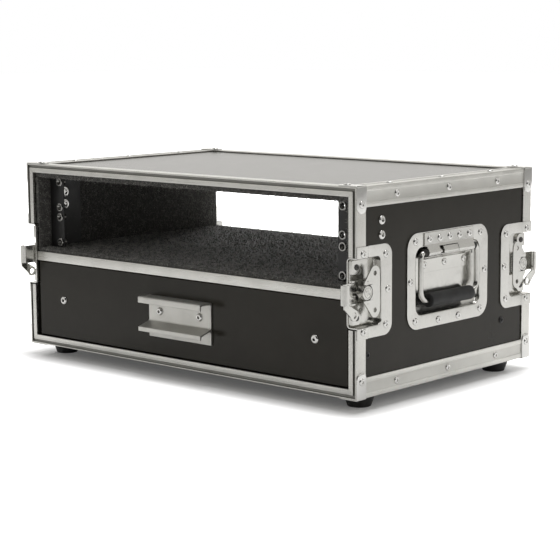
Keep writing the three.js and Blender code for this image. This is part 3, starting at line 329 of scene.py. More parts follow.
def cleaned(mesh, outward=None):
    """Merges doubles and turns faces outwards, or an open sheet's faces towards a direction."""
    work = bmesh.new()
    work.from_mesh(mesh)
    bmesh.ops.remove_doubles(work, verts=work.verts, dist=0.002 * MM)
    bmesh.ops.recalc_face_normals(work, faces=work.faces)
    if outward is not None:
        total = sum((face.normal * face.calc_area() for face in work.faces), Vector())
        if total.dot(outward) < 0:
            bmesh.ops.reverse_faces(work, faces=work.faces)
    work.to_mesh(mesh)
    work.free()
    return mesh


def shaded(obj, angle=32):
    for polygon in obj.data.polygons:
        polygon.use_smooth = True
    obj.data.set_sharp_from_angle(angle=math.radians(angle))
    return obj


def solid(name, *shapes):
    """An object of closed shapes that don't touch each other."""
    return shaded(new_object(name, cleaned(raw_mesh(name, joined(shapes)))))


def settled(obj):
    """Turns an object's modifiers into its mesh."""
    graph = bpy.context.evaluated_depsgraph_get()
    mesh = bpy.data.meshes.new_from_object(obj.evaluated_get(graph))
    obj.modifiers.clear()
    obj.data = mesh
    return obj


def combined(obj, operation, tools):
    """Cuts shapes from an object, or welds them to it, one after another."""
    for i, shape in enumerate(tools):
        helper = new_object(f"{obj.name}_tool_{i}", cleaned(raw_mesh("tool", shape)))
        modifier = obj.modifiers.new("tool", "BOOLEAN")
        modifier.operation = operation
        modifier.solver = "EXACT"
        modifier.object = helper
        settled(obj)
        bpy.data.objects.remove(helper)
    return shaded(obj)


def cut(obj, *tools):
    return combined(obj, "DIFFERENCE", tools)


def weld(obj, *tools):
    return combined(obj, "UNION", tools)


def softened(obj, width, segments=2, angle=35):
    """Rounds an object's sharp edges."""
    modifier = obj.modifiers.new("soft edges", "BEVEL")
    modifier.width = width
    modifier.segments = segments
    modifier.limit_method = "ANGLE"
    modifier.angle_limit = math.radians(angle)
    modifier.use_clamp_overlap = False
    modifier.harden_normals = True
    return obj


def pressed(name, shape, outward, thickness):
    """Sheet metal of even thickness behind an open surface."""
    obj = new_object(name, cleaned(raw_mesh(name, shape), outward))
    modifier = obj.modifiers.new("sheet", "SOLIDIFY")
    modifier.thickness = thickness
    modifier.offset = -1
    modifier.use_even_offset = True
    settled(obj)
    return shaded(obj, 40)


def fitted(obj, finish, body, slot, *nodes):
    """Gives a piece its finish, and says which body it rides on and which nodes it stands for."""
    obj.data.materials.clear()
    obj.data.materials.append(material(finish))
    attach(obj, body)
    if nodes:
        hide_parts(*nodes)


def marked(obj, name, values):
    """Gives each of an object's faces a value that its finish reads."""
    marks = obj.data.attributes.new(name, "FLOAT", "FACE")
    marks.data.foreach_set("value", [float(value) for value in values])


# Node trees


def node(tree, kind, inputs=None, **settings):
    """A node with its settings, and with each input given a value or linked from a socket."""
    made = tree.nodes.new(kind)
    for key, value in settings.items():
        setattr(made, key, value)
    for key, value in (inputs or {}).items():
        if isinstance(value, bpy.types.NodeSocket):
            tree.links.new(value, made.inputs[key])
        else:
            made.inputs[key].default_value = value
    return made


def maths(tree, operation, *inputs):
    return node(tree, "ShaderNodeMath", dict(enumerate(inputs)), operation=operation).outputs[0]


def vector_maths(tree, operation, *inputs):
    made = node(tree, "ShaderNodeVectorMath", dict(enumerate(inputs)), operation=operation)
    return made.outputs["Value" if operation in ("DOT_PRODUCT", "LENGTH") else "Vector"]


def mixed(tree, factor, a, b, data_type="RGBA", **settings):
    made = node(tree, "ShaderNodeMix", {"Factor": factor, "A": a, "B": b}, data_type=data_type, **settings)
    return made.outputs["Result"]


def geometry_tree(name, inputs):
    """A geometry node tree with named inputs, and the sockets that give them."""
    tree = bpy.data.node_groups.new(name, "GeometryNodeTree")
    for key, kind in inputs.items():
        tree.interface.new_socket(key, in_out="INPUT", socket_type=f"NodeSocket{kind}")
    tree.interface.new_socket("Geometry", in_out="OUTPUT", socket_type="NodeSocketGeometry")
    return tree, node(tree, "NodeGroupInput").outputs


def instanced(tree, points, instance, rotation, scale, finish):
    """Ends a tree with a real copy of an instance, in its finish, on each point."""
    place = node(tree, "GeometryNodeInstanceOnPoints", {
        "Points": points, "Instance": instance, "Rotation": rotation, "Scale": scale,
    })
    real = node(tree, "GeometryNodeRealizeInstances", {"Geometry": place.outputs["Instances"]})
    paint = node(tree, "GeometryNodeSetMaterial", {"Geometry": real.outputs["Geometry"], "Material": finish})
    node(tree, "NodeGroupOutput", {"Geometry": paint.outputs["Geometry"]})
    return tree


def head_tree(name):
    """Instances of one head on points, each turned to the point's outward direction."""
    kinds = {"Geometry": "Geometry", "Head": "Object", "Size": "Float", "Finish": "Material"}
    tree, given = geometry_tree(name, kinds)
    outward = node(tree, "GeometryNodeInputNamedAttribute", {"Name": "outward"}, data_type="FLOAT_VECTOR")
    direction = outward.outputs["Attribute"]
    turn = node(tree, "FunctionNodeAlignRotationToVector", {"Vector": direction}, axis="Z")
    head = node(tree, "GeometryNodeObjectInfo", {"Object": given["Head"]}).outputs["Geometry"]
    return instanced(tree, given["Geometry"], head, turn.outputs["Rotation"], given["Size"], given["Finish"])


def fibre_tree(name):
    """Short leaning fibres on a surface, scattered with a fixed seed."""
    kinds = {"Geometry": "Geometry", "Seed": "Int", "Finish": "Material"}
    kinds.update(dict.fromkeys(("Density", "Length", "Thickness", "Lean"), "Float"))
    tree, given = geometry_tree(name, kinds)
    spread = node(tree, "GeometryNodeDistributePointsOnFaces", {
        "Mesh": given["Geometry"], "Density": given["Density"], "Seed": given["Seed"],
    })
    fibre = node(tree, "GeometryNodeMeshCone", {
        "Vertices": 3, "Radius Bottom": given["Thickness"], "Depth": given["Length"],
    }, fill_type="NGON")
    most = node(tree, "ShaderNodeCombineXYZ", {axis: given["Lean"] for axis in "XYZ"})
    least = node(tree, "ShaderNodeVectorMath", {0: (-1, -1, -1), "Scale": given["Lean"]}, operation="SCALE")
    lean = node(tree, "FunctionNodeRandomValue", {
        0: least.outputs["Vector"], 1: most.outputs["Vector"],
    }, data_type="FLOAT_VECTOR")
    tilt = node(tree, "FunctionNodeRotateRotation", {
        "Rotation": spread.outputs["Rotation"], "Rotate By": lean.outputs["Value"],
    }, rotation_space="LOCAL")
    scale = node(tree, "FunctionNodeRandomValue", {2: 0.5, 3: 1.0}, data_type="FLOAT")
    return instanced(
        tree, spread.outputs["Points"], fibre.outputs["Mesh"], tilt.outputs["Rotation"], scale.outputs[1],
        given["Finish"],
    )


def grown(obj, name, build, values):
    """Runs a node tree on an object and keeps the result as its mesh."""
    tree = bpy.data.node_groups.get(name) or build(name)
    modifier = obj.modifiers.new("nodes", "NODES")
    modifier.node_group = tree
    for item in tree.interface.items_tree:
        if item.in_out == "INPUT" and item.name in values:
            modifier[item.identifier] = values[item.name]
    return shaded(settled(obj))


def heads(name, shape, places, finish, body, slot):
    """A piece with one head at each (point, outward direction)."""
    head = shaded(new_object("head", cleaned(raw_mesh("head", shape, lift=0))))
    base = raw_mesh(name, ([point for point, _ in places], []))
    directions = base.attributes.new("outward", "FLOAT_VECTOR", "POINT")
    for i, (_, direction) in enumerate(places):
        directions.data[i].vector = direction
    values = {"Head": head, "Size": 1.0, "Finish": material(finish)}
    obj = grown(new_object(name, base), "Heads on points", head_tree, values)
    bpy.data.objects.remove(head)
    fitted(obj, finish, body, slot)


# Materials


def shader(name, colour, roughness, metallic=0.0, extra=None):
    """A material, its node tree and its surface shader, with values on the shader's own sockets."""
    mat = bpy.data.materials.new(name)
    mat.use_nodes = True
    surface = mat.node_tree.nodes["Principled BSDF"]
    values = {"Base Color": (*colour, 1), "Roughness": roughness, "Metallic": metallic, **(extra or {})}
    for key, value in values.items():
        surface.inputs[key].default_value = value
    return mat, mat.node_tree, surface


def texture(tree, kind, scale, stretch=(1, 1, 1), **settings):
    """A texture node on Object coordinates, stretched along the axes."""
    where = node(tree, "ShaderNodeTexCoord").outputs["Object"]
    mapping = node(tree, "ShaderNodeMapping", {"Vector": where, "Scale": stretch})
    values = {key.title(): value for key, value in settings.items()}
    return node(tree, kind, {"Vector": mapping.outputs["Vector"], "Scale": scale, **values})


def noise(tree, scale, stretch=(1, 1, 1), **settings):
    return texture(tree, "ShaderNodeTexNoise", scale, stretch, **settings).outputs["Fac"]


def ramp(tree, source, stops, socket=None):
    """A colour ramp of (position, colour) stops, fed by a socket and sent to another."""
    made = node(tree, "ShaderNodeValToRGB", {"Fac": source})
    elements = made.color_ramp.elements
    while len(elements) < len(stops):
        elements.new(0.5)
    for element, (position, colour) in zip(elements, stops):
        element.position = position
        element.color = (*colour, 1) if hasattr(colour, "__len__") else (colour, colour, colour, 1)
    if socket:
        tree.links.new(made.outputs["Color"], socket)
    return made.outputs["Color"]


def bump(tree, surface, height, distance, strength=1.0):
    made = node(tree, "ShaderNodeBump", {"Distance": distance, "Strength": strength, "Height": height})
    tree.links.new(made.outputs["Normal"], surface.inputs["Normal"])


def shades(colour, *shares):
    return [tuple(channel * share for channel in colour[:3]) for share in shares]


def laminate(colours):
    """Fine-grained black laminate with a weak, slightly warm sheen."""
    mat, tree, surface = shader("laminate", colours.laminate, 0.2, extra={
        "Specular IOR Level": 0.24, "Specular Tint": (1.0, 0.975, 0.93, 1),
    })
    dark, light = shades(colours.laminate, 0.88, 1.14)
    ramp(tree, noise(tree, 18, detail=4), [(0.3, dark), (0.7, light)], surface.inputs["Base Color"])
    scuffs = noise(tree, 60, stretch=(1, 1, 3), detail=6)
    ramp(tree, scuffs, [(0.35, 0.2), (0.7, 0.21)], surface.inputs["Roughness"])
    grain = texture(tree, "ShaderNodeTexVoronoi", 1400)
    bump(tree, surface, grain.outputs["Distance"], 0.00002, 0.2)
    return mat


def drawn_metal(name, colour, roughness, along):
    """Extruded or rolled metal with fine lines along one axis. Faces that its attribute marks as recesses
    get painted shade, a darker colour, and a rougher surface.
    """
    mat, tree, surface = shader(name, colour, roughness, 1.0)
    lines = noise(tree, 900, stretch=along, detail=3)
    smooth = ramp(tree, lines, [(0.3, roughness - 0.05), (0.7, roughness + 0.05)])
    dull, bright = shades(colour, 0.92, 1.03)
    tone = ramp(tree, noise(tree, 25, detail=5), [(0.35, dull), (0.65, bright)])
    recess = node(tree, "ShaderNodeAttribute", attribute_name="recess").outputs["Fac"]
    # Painted shade: the colour of faces marked as recesses is multiplied darker
    darker = mixed(tree, recess, tone, (0.4, 0.4, 0.39, 1), blend_type="MULTIPLY")
    tree.links.new(darker, surface.inputs["Base Color"])
    tree.links.new(mixed(tree, recess, smooth, 0.5, "FLOAT"), surface.inputs["Roughness"])
    bump(tree, surface, lines, 0.00001, 0.5)
    return mat


def plated_metal(name, colour, roughness, wave):
    """Pressed and plated sheet, slightly wavy, with small marks."""
    mat, tree, surface = shader(name, colour, roughness, 1.0)
    stops = [(0.4, roughness * 0.8), (0.7, roughness * 1.35)]
    ramp(tree, noise(tree, 220, detail=6), stops, surface.inputs["Roughness"])
    bump(tree, surface, noise(tree, 35, detail=2), wave)
    return mat


def felt(colours):
    """Dark carpet with faint flecks. Its loose fibres, which the fibre attribute marks, have pale tips."""
    mat, tree, surface = shader("carpet", colours.carpet, 0.97, extra={
        "Sheen Weight": 0.25, "Sheen Roughness": 0.5, "Specular IOR Level": 0.15,
    })
    base, middle = shades(colours.carpet, 2.6, 3.2)
    faint, pale = shades(colours.fleck, 0.5, 1.4)
    flecks = noise(tree, 330, detail=3, distortion=1.2)
    ground = ramp(tree, flecks, [(0.42, base), (0.53, middle), (0.61, faint)])
    tips = ramp(tree, noise(tree, 170, detail=2, distortion=0.8), [(0.49, base), (0.56, pale)])
    loose = node(tree, "ShaderNodeAttribute", attribute_name="fibre").outputs["Fac"]
    tree.links.new(mixed(tree, loose, ground, tips), surface.inputs["Base Color"])
    bump(tree, surface, noise(tree, 420, detail=6), 0.0015)
    return mat


def coated(name, colour, roughness, peel):
    """Powder coat or moulded rubber with a fine skin."""
    mat, tree, surface = shader(name, colour, roughness)
    bump(tree, surface, noise(tree, 700, detail=3), peel)
    stops = [(0.35, roughness - 0.06), (0.7, roughness + 0.08)]
    ramp(tree, noise(tree, 60, detail=5), stops, surface.inputs["Roughness"])
    return mat


def plywood(name, colour, thickness_axis):
    """Birch veneer, with its plies on the faces along the board's thickness."""
    mat, tree, surface = shader(name, colour, 0.62)
    stretch = (1, 0.12, 1) if thickness_axis == "X" else (0.12, 1, 1)
    grain = noise(tree, 120, stretch=stretch, detail=8, distortion=0.4)
    dark, middle, light = shades(colour, 0.72, 0.95, 1.12)
    veneer = ramp(tree, grain, [(0.3, dark), (0.5, middle), (0.7, light)])

    def across(vector):
        return node(tree, "ShaderNodeSeparateXYZ", {"Vector": vector}).outputs[thickness_axis]

    ply = 1.3 * MM
    depth = across(node(tree, "ShaderNodeTexCoord").outputs["Object"])
    level = maths(tree, "MULTIPLY", maths(tree, "PINGPONG", depth, ply), 1 / ply)
    layers = ramp(tree, level, [(0.42, shades(colour, 0.5)[0]), (0.58, light)])
    flat = maths(tree, "ABSOLUTE", across(node(tree, "ShaderNodeNewGeometry").outputs["Normal"]))
    tree.links.new(mixed(tree, flat, layers, veneer), surface.inputs["Base Color"])
    bump(tree, surface, grain, 0.00015, 0.6)
    return mat


FINISHES = {
    "laminate": laminate,
    "pull_aluminium": lambda c: drawn_metal("pull aluminium", c.aluminium, 0.48, (0.1, 1, 1)),
    "aluminium_x": lambda c: drawn_metal("aluminium along x", c.aluminium, 0.3, (0.02, 1, 1)),
    "aluminium_y": lambda c: drawn_metal("aluminium along y", c.aluminium, 0.3, (1, 0.02, 1)),
    "plated": lambda c: plated_metal("plated steel", c.plated, 0.2, 0.0006),
    "chrome": lambda c: plated_metal("chromed steel", c.chrome, 0.1, 0.0004),
    "zinc": lambda c: drawn_metal("zinc plated steel", c.zinc, 0.32, (1, 0.04, 1)),
    "fastener": lambda c: plated_metal("fasteners", c.chrome, 0.1, 0.0001),
    "dark_steel": lambda c: plated_metal("dark steel", c.dark_steel, 0.35, 0.0003),
    "insert": lambda c: plated_metal("inserts", c.insert, 0.22, 0.0001),
    "carpet": felt,
    "black_steel": lambda c: coated("black powder coat", c.black_steel, 0.38, 0.00006),
    "rubber": lambda c: coated("rubber", c.rubber, 0.55, 0.00008),
    "ply_x": lambda c: plywood("plywood upright", c.plywood, "X"),
    "ply_y": lambda c: plywood("plywood across", c.plywood, "Y"),
    "ply_z": lambda c: plywood("plywood flat", c.plywood, "Z"),
}
made_finishes = {}


def material(name):
    if name not in made_finishes:
        made_finishes[name] = FINISHES[name](bpy.context.scene.road_case_colours)
    return made_finishes[name]


# Settings


def length_property(name, description, value):
    return bpy.props.FloatProperty(name=name, description=description, default=value * MM, unit="LENGTH")


class RoadCaseSizes(bpy.types.PropertyGroup):
    """Sizes of the details that the frame leaves open"""

    edge_softness: length_property("Edge softness", "Radius of sheet and bar edges", 0.3)
    strap_thickness: length_property("Strap thickness", "Sheet of the corner straps", 1.2)
    strap_width: length_property("Strap width", "Width of the corner straps", 15.8)
    strap_leg: length_property("Strap leg", "Length of each strap leg from the corner", 29)
    rivet_radius: length_property("Rivet radius", "Radius of a blind rivet's head", 4.1)
    rivet_height: length_property("Rivet height", "Height of a blind rivet's head", 1.4)
    wire_radius: length_property("Bail wire radius", "Radius of the handle's wire", 3.1)
    grip_radius: length_property("Grip radius", "Radius of the rubber grip", 8.2)
    spring_turns: bpy.props.IntProperty(
        name="Spring turns", description="Turns of wire at each end of the hinge rod", default=3, min=1
    )
    fibre_length: length_property("Fibre length", "Length of the carpet's loose fibres", 3.2)
    fibre_density: bpy.props.FloatProperty(
        name="Fibre density", description="Fibres on a square metre of carpet face", default=200000.0
    )


def colour_property(name, description, value):
    return bpy.props.FloatVectorProperty(
        name=name, description=description, subtype="COLOR", size=3, min=0, max=1, default=value
    )


class RoadCaseColours(bpy.types.PropertyGroup):
    """Base colours of the finishes"""

    laminate: colour_property("Laminate", "Black laminate of the boards", (0.0200, 0.0180, 0.0138))
    aluminium: colour_property("Aluminium", "Satin extrusions", (0.67, 0.662, 0.628))
    plated: colour_property("Plated steel", "Pressed dishes and plates", (0.63, 0.623, 0.595))
    chrome: colour_property("Chrome", "Straps and rivets", (0.72, 0.715, 0.695))
    zinc: colour_property("Zinc", "Drawer slides", (0.62, 0.63, 0.64))
    dark_steel: colour_property("Dark steel", "Springs and latch screws", (0.10, 0.098, 0.095))
    insert: colour_property("Inserts", "Threaded inserts of the rails", (0.36, 0.355, 0.34))
    carpet: colour_property("Carpet", "Felt lining", (0.022, 0.0215, 0.020))
    fleck: colour_property("Fleck", "Pale fibres in the felt", (0.26, 0.252, 0.232))
    black_steel: colour_property("Black steel", "Powder coated rails", (0.009, 0.009, 0.009))
    rubber: colour_property("Rubber", "Feet and grips", (0.009, 0.009, 0.009))
    plywood: colour_property("Plywood", "Bare birch boards", (0.44, 0.31, 0.18))


class CasePiece:
    """Shared by every operator: makes its pieces from the scene's settings"""

    bl_options = {"REGISTER"}

    def execute(self, context):
        self.make(context.scene.road_case_sizes)
        return {"FINISHED"}


# Boards


class BoardsOperator(CasePiece, bpy.types.Operator):
    """Finishes the boards that the frame already shapes"""

    bl_idname = "roadcase.boards"
    bl_label = "Boards"

    def make(self, sizes):
        members = ("outer", "middle", "inner")
        finishes = {
            "laminate": ["top_panel", "bottom_panel", "right_panel", "left_panel"],
            "ply_z": ["shelf_board", "drawer_bottom"],
            "ply_x": ["drawer_right_side", "drawer_left_side"],
            "ply_y": ["drawer_back"],
            "zinc": [f"{side}_slide_{member}" for side in SIDE_NAME.values() for member in members],
        }
        for finish, names in finishes.items():
            for name in names:
                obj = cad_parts[name]
                obj.data.materials.clear()
                obj.data.materials.append(material(finish))


# Aluminium cladding


def frame_section():
    groove_end = RIDGE + GROOVE
    corners = [
        (0, 0), (RIDGE, 0), (RIDGE, GROOVE_DEPTH), (groove_end, GROOVE_DEPTH), (groove_end, 0), (FACE, 0),
        (FACE, GROOVE_DEPTH + WALL), (WALL, GROOVE_DEPTH + WALL), (WALL, FLANGE), (0, FLANGE),
    ]
    return filleted(corners, 0.45)


def mitred_bar(length, far_mitre):
    """A bar with a mitre at its start and, if asked, at its end too."""
    section = frame_section()
    near = [(u, v, u + SEAM) for u, v in section]
    far = [(u, v, length - (u if far_mitre else 0) - SEAM) for u, v in section]
    return skin([near, far])


class LidFramesOperator(CasePiece, bpy.types.Operator):
    """Grooved frames round the front and rear openings"""

    bl_idname = "roadcase.lid_frames"
    bl_label = "Lid frames"

    def make(self, sizes):
        upright = TOP_Z - span("front_lid_frame_upper")[0].z
        corner = (SIDE_X, FRONT_Y, TOP_Z)
        bars = [
            mapped(mitred_bar(2 * SIDE_X, True), -Z, Y, -X, corner),
            mapped(mitred_bar(upright, False), -X, Y, -Z, corner),
            flipped(mapped(mitred_bar(upright, False), -X, Y, -Z, corner), -1),
        ]
        for sy, end in END_NAME.items():
            for sz, half in ((1, "upper"), (-1, "lower")):
                obj = solid(f"lid_frame_{end}_{half}", *[flipped(bar, 1, -sy, sz) for bar in bars])
                # Groove faces get painted shade from their finish
                marked(obj, "recess", [self.in_groove(face.center) for face in obj.data.polygons])
                fitted(obj, "aluminium_x", "case", "aluminium", f"{end}_lid_frame_{half}")

    def in_groove(self, centre):
        """Whether a face belongs to the groove, which gets painted shade and a rougher surface."""
        x, y, z = (value / MM for value in centre)
        depth = -FRONT_Y - abs(y)
        inward = min(SIDE_X - abs(x), MIDDLE_Z - abs(z - LIFT - MIDDLE_Z))
        return 0.3 < depth < GROOVE_DEPTH + 0.1 and 1.0 < inward < RIDGE + GROOVE + 0.2


class EdgeAnglesOperator(CasePiece, bpy.types.Operator):
    """Banded angles along the four long edges of the sides"""

    bl_idname = "roadcase.edge_angles"
    bl_label = "Edge angles"

    def make(self, sizes):
        hem = ANGLE_LEG - INNER_BAND
        inward = [
            (0, 0), (OUTER_BAND, 0), (OUTER_BAND, BAND_RISE), (hem, BAND_RISE), (hem, 0), (ANGLE_LEG, 0),
            (ANGLE_LEG, WALL), (WALL, WALL), (WALL, ANGLE_LEG), (0, ANGLE_LEG), (0, hem), (BAND_RISE, hem),
            (BAND_RISE, OUTER_BAND), (0, OUTER_BAND),
        ]
        outline = [(SIDE_X - a, TOP_Z - b) for a, b in filleted(inward, 0.35)]
        half = span("top_right_angle")[1].y
        bar = prism("y", outline, -half, half)
        for sx, side in SIDE_NAME.items():
            for sz, level in ((1, "top"), (-1, "bottom")):
                obj = solid(f"edge_angle_{level}_{side}", flipped(bar, sx, 1, sz))
                places = [face.center for face in obj.data.polygons]
                # Faces between the bands get a weaker share of the painted shade
                marked(obj, "recess", [ANGLE_PAINTED_SHADE * self.between_bands(at, sx, sz, hem) for at in places])
                fitted(obj, "aluminium_y", "case", "aluminium", f"{level}_{side}_angle")

    def between_bands(self, centre, sx, sz, hem):
        """Whether a face lies in the recessed channel between the two bands, which gets a weaker painted
        shade and a rougher surface.
        """
        x, z = centre.x / MM * sx, centre.z / MM - LIFT
        near, far = sorted((SIDE_X - x, TOP_Z - z if sz > 0 else z))
        return abs(near - BAND_RISE) < 0.05 and OUTER_BAND < far < hem


def strap_shape(sizes):
    """The front right top strap: a bent sheet with round ends."""
    thickness, width, leg = sizes.strap_thickness / MM, sizes.strap_width / MM, sizes.strap_leg / MM
    half = width / 2
    middle_y = FRONT_Y + STRAP_INSET + half
    radius = STRAP_BEND - thickness / 2
    out_x, out_z = SIDE_X + thickness / 2, TOP_Z + thickness / 2
    bend_x, bend_z = out_x - radius, out_z - radius
    tips = [half * (1 - math.cos(math.radians(a))) for a in range(8, 90, 12)]
    stations = [(s, half * math.sin(math.acos(1 - s / half))) for s in tips] + [(half, half)]
    rings = []
    for s, reach in stations:
        rings.append((Vector((out_x, middle_y, TOP_Z - leg + s)), X, reach))
    for a, b in arc(bend_x, bend_z, radius, 0, 90, 8):
        outward = Vector((a - bend_x, 0, b - bend_z)).normalized()
        rings.append((Vector((a, middle_y, b)), outward, half))
    for s, reach in reversed(stations):
        rings.append((Vector((SIDE_X - leg + s, middle_y, out_z)), Z, reach))
    sections = []
    for centre, outward, reach in rings:
        corner = min(0.35, reach * 0.8)
        outline = rounded_box(-reach, reach, -thickness / 2, thickness / 2, corner, 3)
        sections.append([centre + Y * a + outward * b for a, b in outline])
    return skin(sections)


class CornerStrapsOperator(CasePiece, bpy.types.Operator):
    """Chromed straps bent over the eight corners"""

    bl_idname = "roadcase.corner_straps"
    bl_label = "Corner straps"

    def make(self, sizes):
        strap = strap_shape(sizes)
        straps = [flipped(strap, sx, -sy, sz) for sx, sy in CORNERS for sz in (1, -1)]
        fitted(solid("corner_straps", *straps), "chrome", "case", "aluminium")


# Rivets and screws


def crown(rim, radius, low, high):
    """The rounded edge of a head, from the rim of its top out to its side."""
    angles = [math.radians(a) for a in range(0, 91, 15)]
    return [(rim + (radius - rim) * math.sin(t), low + (high - low) * math.cos(t)) for t in angles]


def domed(rim, radius, low, high):
    """A head's rounded edge, with its side, which goes a little into what the head sits on."""
    return [*crown(rim, radius, low, high), (radius, -0.2), (0, -0.2)]


def rivet_head(sizes):
    """A blind rivet: a low dome with the end of its mandrel in the middle."""
    radius, height = sizes.rivet_radius / MM, sizes.rivet_height / MM
    hole, rim = 0.40 * radius, 0.52 * radius
    return turned([
        (0, height - 0.9), (hole - 0.1, height - 0.9), (hole, height - 0.2), (rim - 0.1, height),
        *domed(rim, radius, 0.3, height),
    ], Z, (0, 0, 0), 32)


def turned_place(point, direction, sx, sy=1, sz=1):
    """A head's point and direction mirrored in the middle planes of the case."""
    (mirrored,), _ = flipped(([tuple(point)], []), sx, sy, sz)
    return mirrored, Vector((direction.x * sx, direction.y * sy, direction.z * sz))


def cladding_rivets():
    """On the edge angles' bands and on the legs of the corner straps."""
    places = []
    for sx in (1, -1):
        for sz in (1, -1):
            for y in (-ANGLE_RIVET_PITCH, 0, ANGLE_RIVET_PITCH):
                places.append(((SIDE_X - BAND_RISE, y, TOP_Z - ANGLE_RIVET_INSET), X, sx, 1, sz))
                places.append(((SIDE_X - ANGLE_RIVET_INSET, y, TOP_Z - BAND_RISE), Z, sx, 1, sz))
            for sy in (1, -1):
                y = FRONT_Y + STRAP_INSET + STRAP_MIDDLE
                places.append(((SIDE_X + STRAP_PROUD, y, TOP_Z - STRAP_RIVET), X, sx, sy, sz))
                places.append(((SIDE_X - STRAP_RIVET, y, TOP_Z + STRAP_PROUD), Z, sx, sy, sz))
    return [turned_place(*place) for place in places]


def handle_rivets():
    """On the dish's flange, then on the strap and on the strap's leaf."""
    wide, tall = HANDLE_HALF_WIDTH, HANDLE_HALF_HEIGHT
    quarter = [(wide - 14.8, tall - 9.6), (wide - 6.1, 0), (wide - 14.5, 9.4 - tall), (18.85, 6.5 - tall)]
    places = [((DISH_TOP, y * s, HANDLE_Z + z), X) for y, z in quarter for s in (1, -1)]
    proud = FIT + STRAP_SHEET
    strap_pitch, leaf_pitch = (STRAP_HALF - 8.9) / 2, LEAF_HALF - 5
    places += [((DISH_TOP + proud, i * strap_pitch, STRAP_RIVET_Z), X) for i in (-2, -1, 0, 1, 2)]
    places += [((DISH_FLOOR + proud, i * leaf_pitch, LEAF_RIVET_Z), X) for i in (-1, 0, 1)]
    return places


def latch_rivets():
    """On the high step of the flange over the lid frame, and on its low part."""
    high = [(LATCH_HIGH, 10.5, 42.0), (LATCH_HIGH, 10.5, -42.0)]
    low = [(DISH_TOP, 51.0, 38.5), (DISH_TOP, 51.0, -38.5), (DISH_TOP, 54.5, 0.0)]
    return [((x, FRONT_Y + back, LATCH_Z + z), X) for x, back, z in high + low]


class RivetsOperator(CasePiece, bpy.types.Operator):
    """Blind rivets of the cladding, the handles and the latches"""

    bl_idname = "roadcase.rivets"
    bl_label = "Rivets"

    def make(self, sizes):
        places = cladding_rivets()
        for sx in (1, -1):
            places += [turned_place(at, out, sx) for at, out in handle_rivets()]
            for sy in (1, -1):
                places += [turned_place(at, out, sx, sy) for at, out in latch_rivets()]
        heads("rivets", rivet_head(sizes), places, "fastener", "case", "plated_steel")


def screw_head(radius, height, socket):
    """A pan head with a hexagon socket."""
    profile = [(0, height), *domed(radius - height, radius, 0, height)]
    hole = prism("z", circle(0, 0, socket, 6), height * 0.15, height + 1)
    head = cut(solid("screw", turned(profile, Z, (0, 0, 0), 40)), hole)
    points = [tuple(v.co / MM - Vector((0, 0, LIFT))) for v in head.data.vertices]
    faces = [tuple(p.vertices) for p in head.data.polygons]
    bpy.data.objects.remove(head)
    return points, faces


# Carpet


def felt_slab(name, low, high, cuts):
    """A carpeted slab in a grid of even faces, with rounded edges."""
    slab = solid(name, block(low.x, high.x, low.y, high.y, low.z, high.z))
    work = bmesh.new()
    work.from_mesh(slab.data)
    for axis, a, b in ((X, low.x, high.x), (Y, low.y, high.y), (Z, low.z + LIFT, high.z + LIFT)):
        steps = max(1, round((b - a) / FELT_PITCH))
        for i in range(1, steps):
            geometry = work.verts[:] + work.edges[:] + work.faces[:]
            at = axis * (a + (b - a) * i / steps) * MM
            bmesh.ops.bisect_plane(work, geom=geometry, plane_co=at, plane_no=axis)
    work.to_mesh(slab.data)
    work.free()
    cut(slab, *cuts)
    return softened(slab, 0.9 * MM, 2, 50)


def fibres(slab, sizes, inward, seed):
    """Loose fibres on a slab's open faces and on its front and rear edges, as a mesh of their own."""
    base = new_object(f"{slab.name}_fibres", slab.data.copy())
    work = bmesh.new()
    work.from_mesh(base.data)
    hidden = [face for face in work.faces if face.normal.dot(inward) < 0.5 and abs(face.normal.y) < 0.5]
    bmesh.ops.delete(work, geom=hidden, context="FACES")
    work.to_mesh(base.data)
    work.free()
    values = {
        "Density": sizes.fibre_density, "Length": sizes.fibre_length, "Thickness": FIBRE_THICKNESS * MM,
        "Lean": FIBRE_LEAN, "Seed": seed, "Finish": material("carpet"),
    }
    return grown(base, "Fibres on faces", fibre_tree, values)


class LiningsOperator(CasePiece, bpy.types.Operator):
    """Felt carpet on the ceiling, the walls and the shelf of the rack bay"""

    bl_idname = "roadcase.linings"
    bl_label = "Linings"

    def make(self, sizes):
        pockets = self.pockets()
        open_sides = {
            "ceiling_lining": -Z, "right_wall_lining": -X, "left_wall_lining": X, "shelf_lining": Z,
        }
        for seed, (name, inward) in enumerate(open_sides.items()):
            low, high = span(name)
            slab = felt_slab(f"felt_{name}", low, high, [] if name == "ceiling_lining" else pockets)
            loose = fibres(slab, sizes, inward, seed)
            settled(slab)
            fitted(self.merged(slab, loose), "carpet", "case", "carpet", name)

    def pockets(self):
        """Room behind the latch dishes, from outside, which leaves a skin of felt over them."""
        behind = LATCH_FLOOR - DISH_SHEET - 0.8
        half = LATCH_HALF + DISH_SHEET + FIT
        back = FRONT_Y + LATCH_BACK + DISH_SHEET + FIT
        tray = block(behind, SIDE_X, FRONT_Y - 2, back, LATCH_Z - half, LATCH_Z + half)
        return [flipped(tray, sx, sy) for sx, sy in CORNERS]

    def merged(self, slab, loose):
        """The slab and its fibres as one mesh, with a face attribute that is 1 on the fibres."""
        solid_faces = len(slab.data.polygons)
        work = bmesh.new()
        work.from_mesh(slab.data)
        work.from_mesh(loose.data)
        work.to_mesh(slab.data)
        work.free()
        bpy.data.objects.remove(loose)
        marked(slab, "fibre", [i >= solid_faces for i in range(len(slab.data.polygons))])
        return slab


# Rack rails


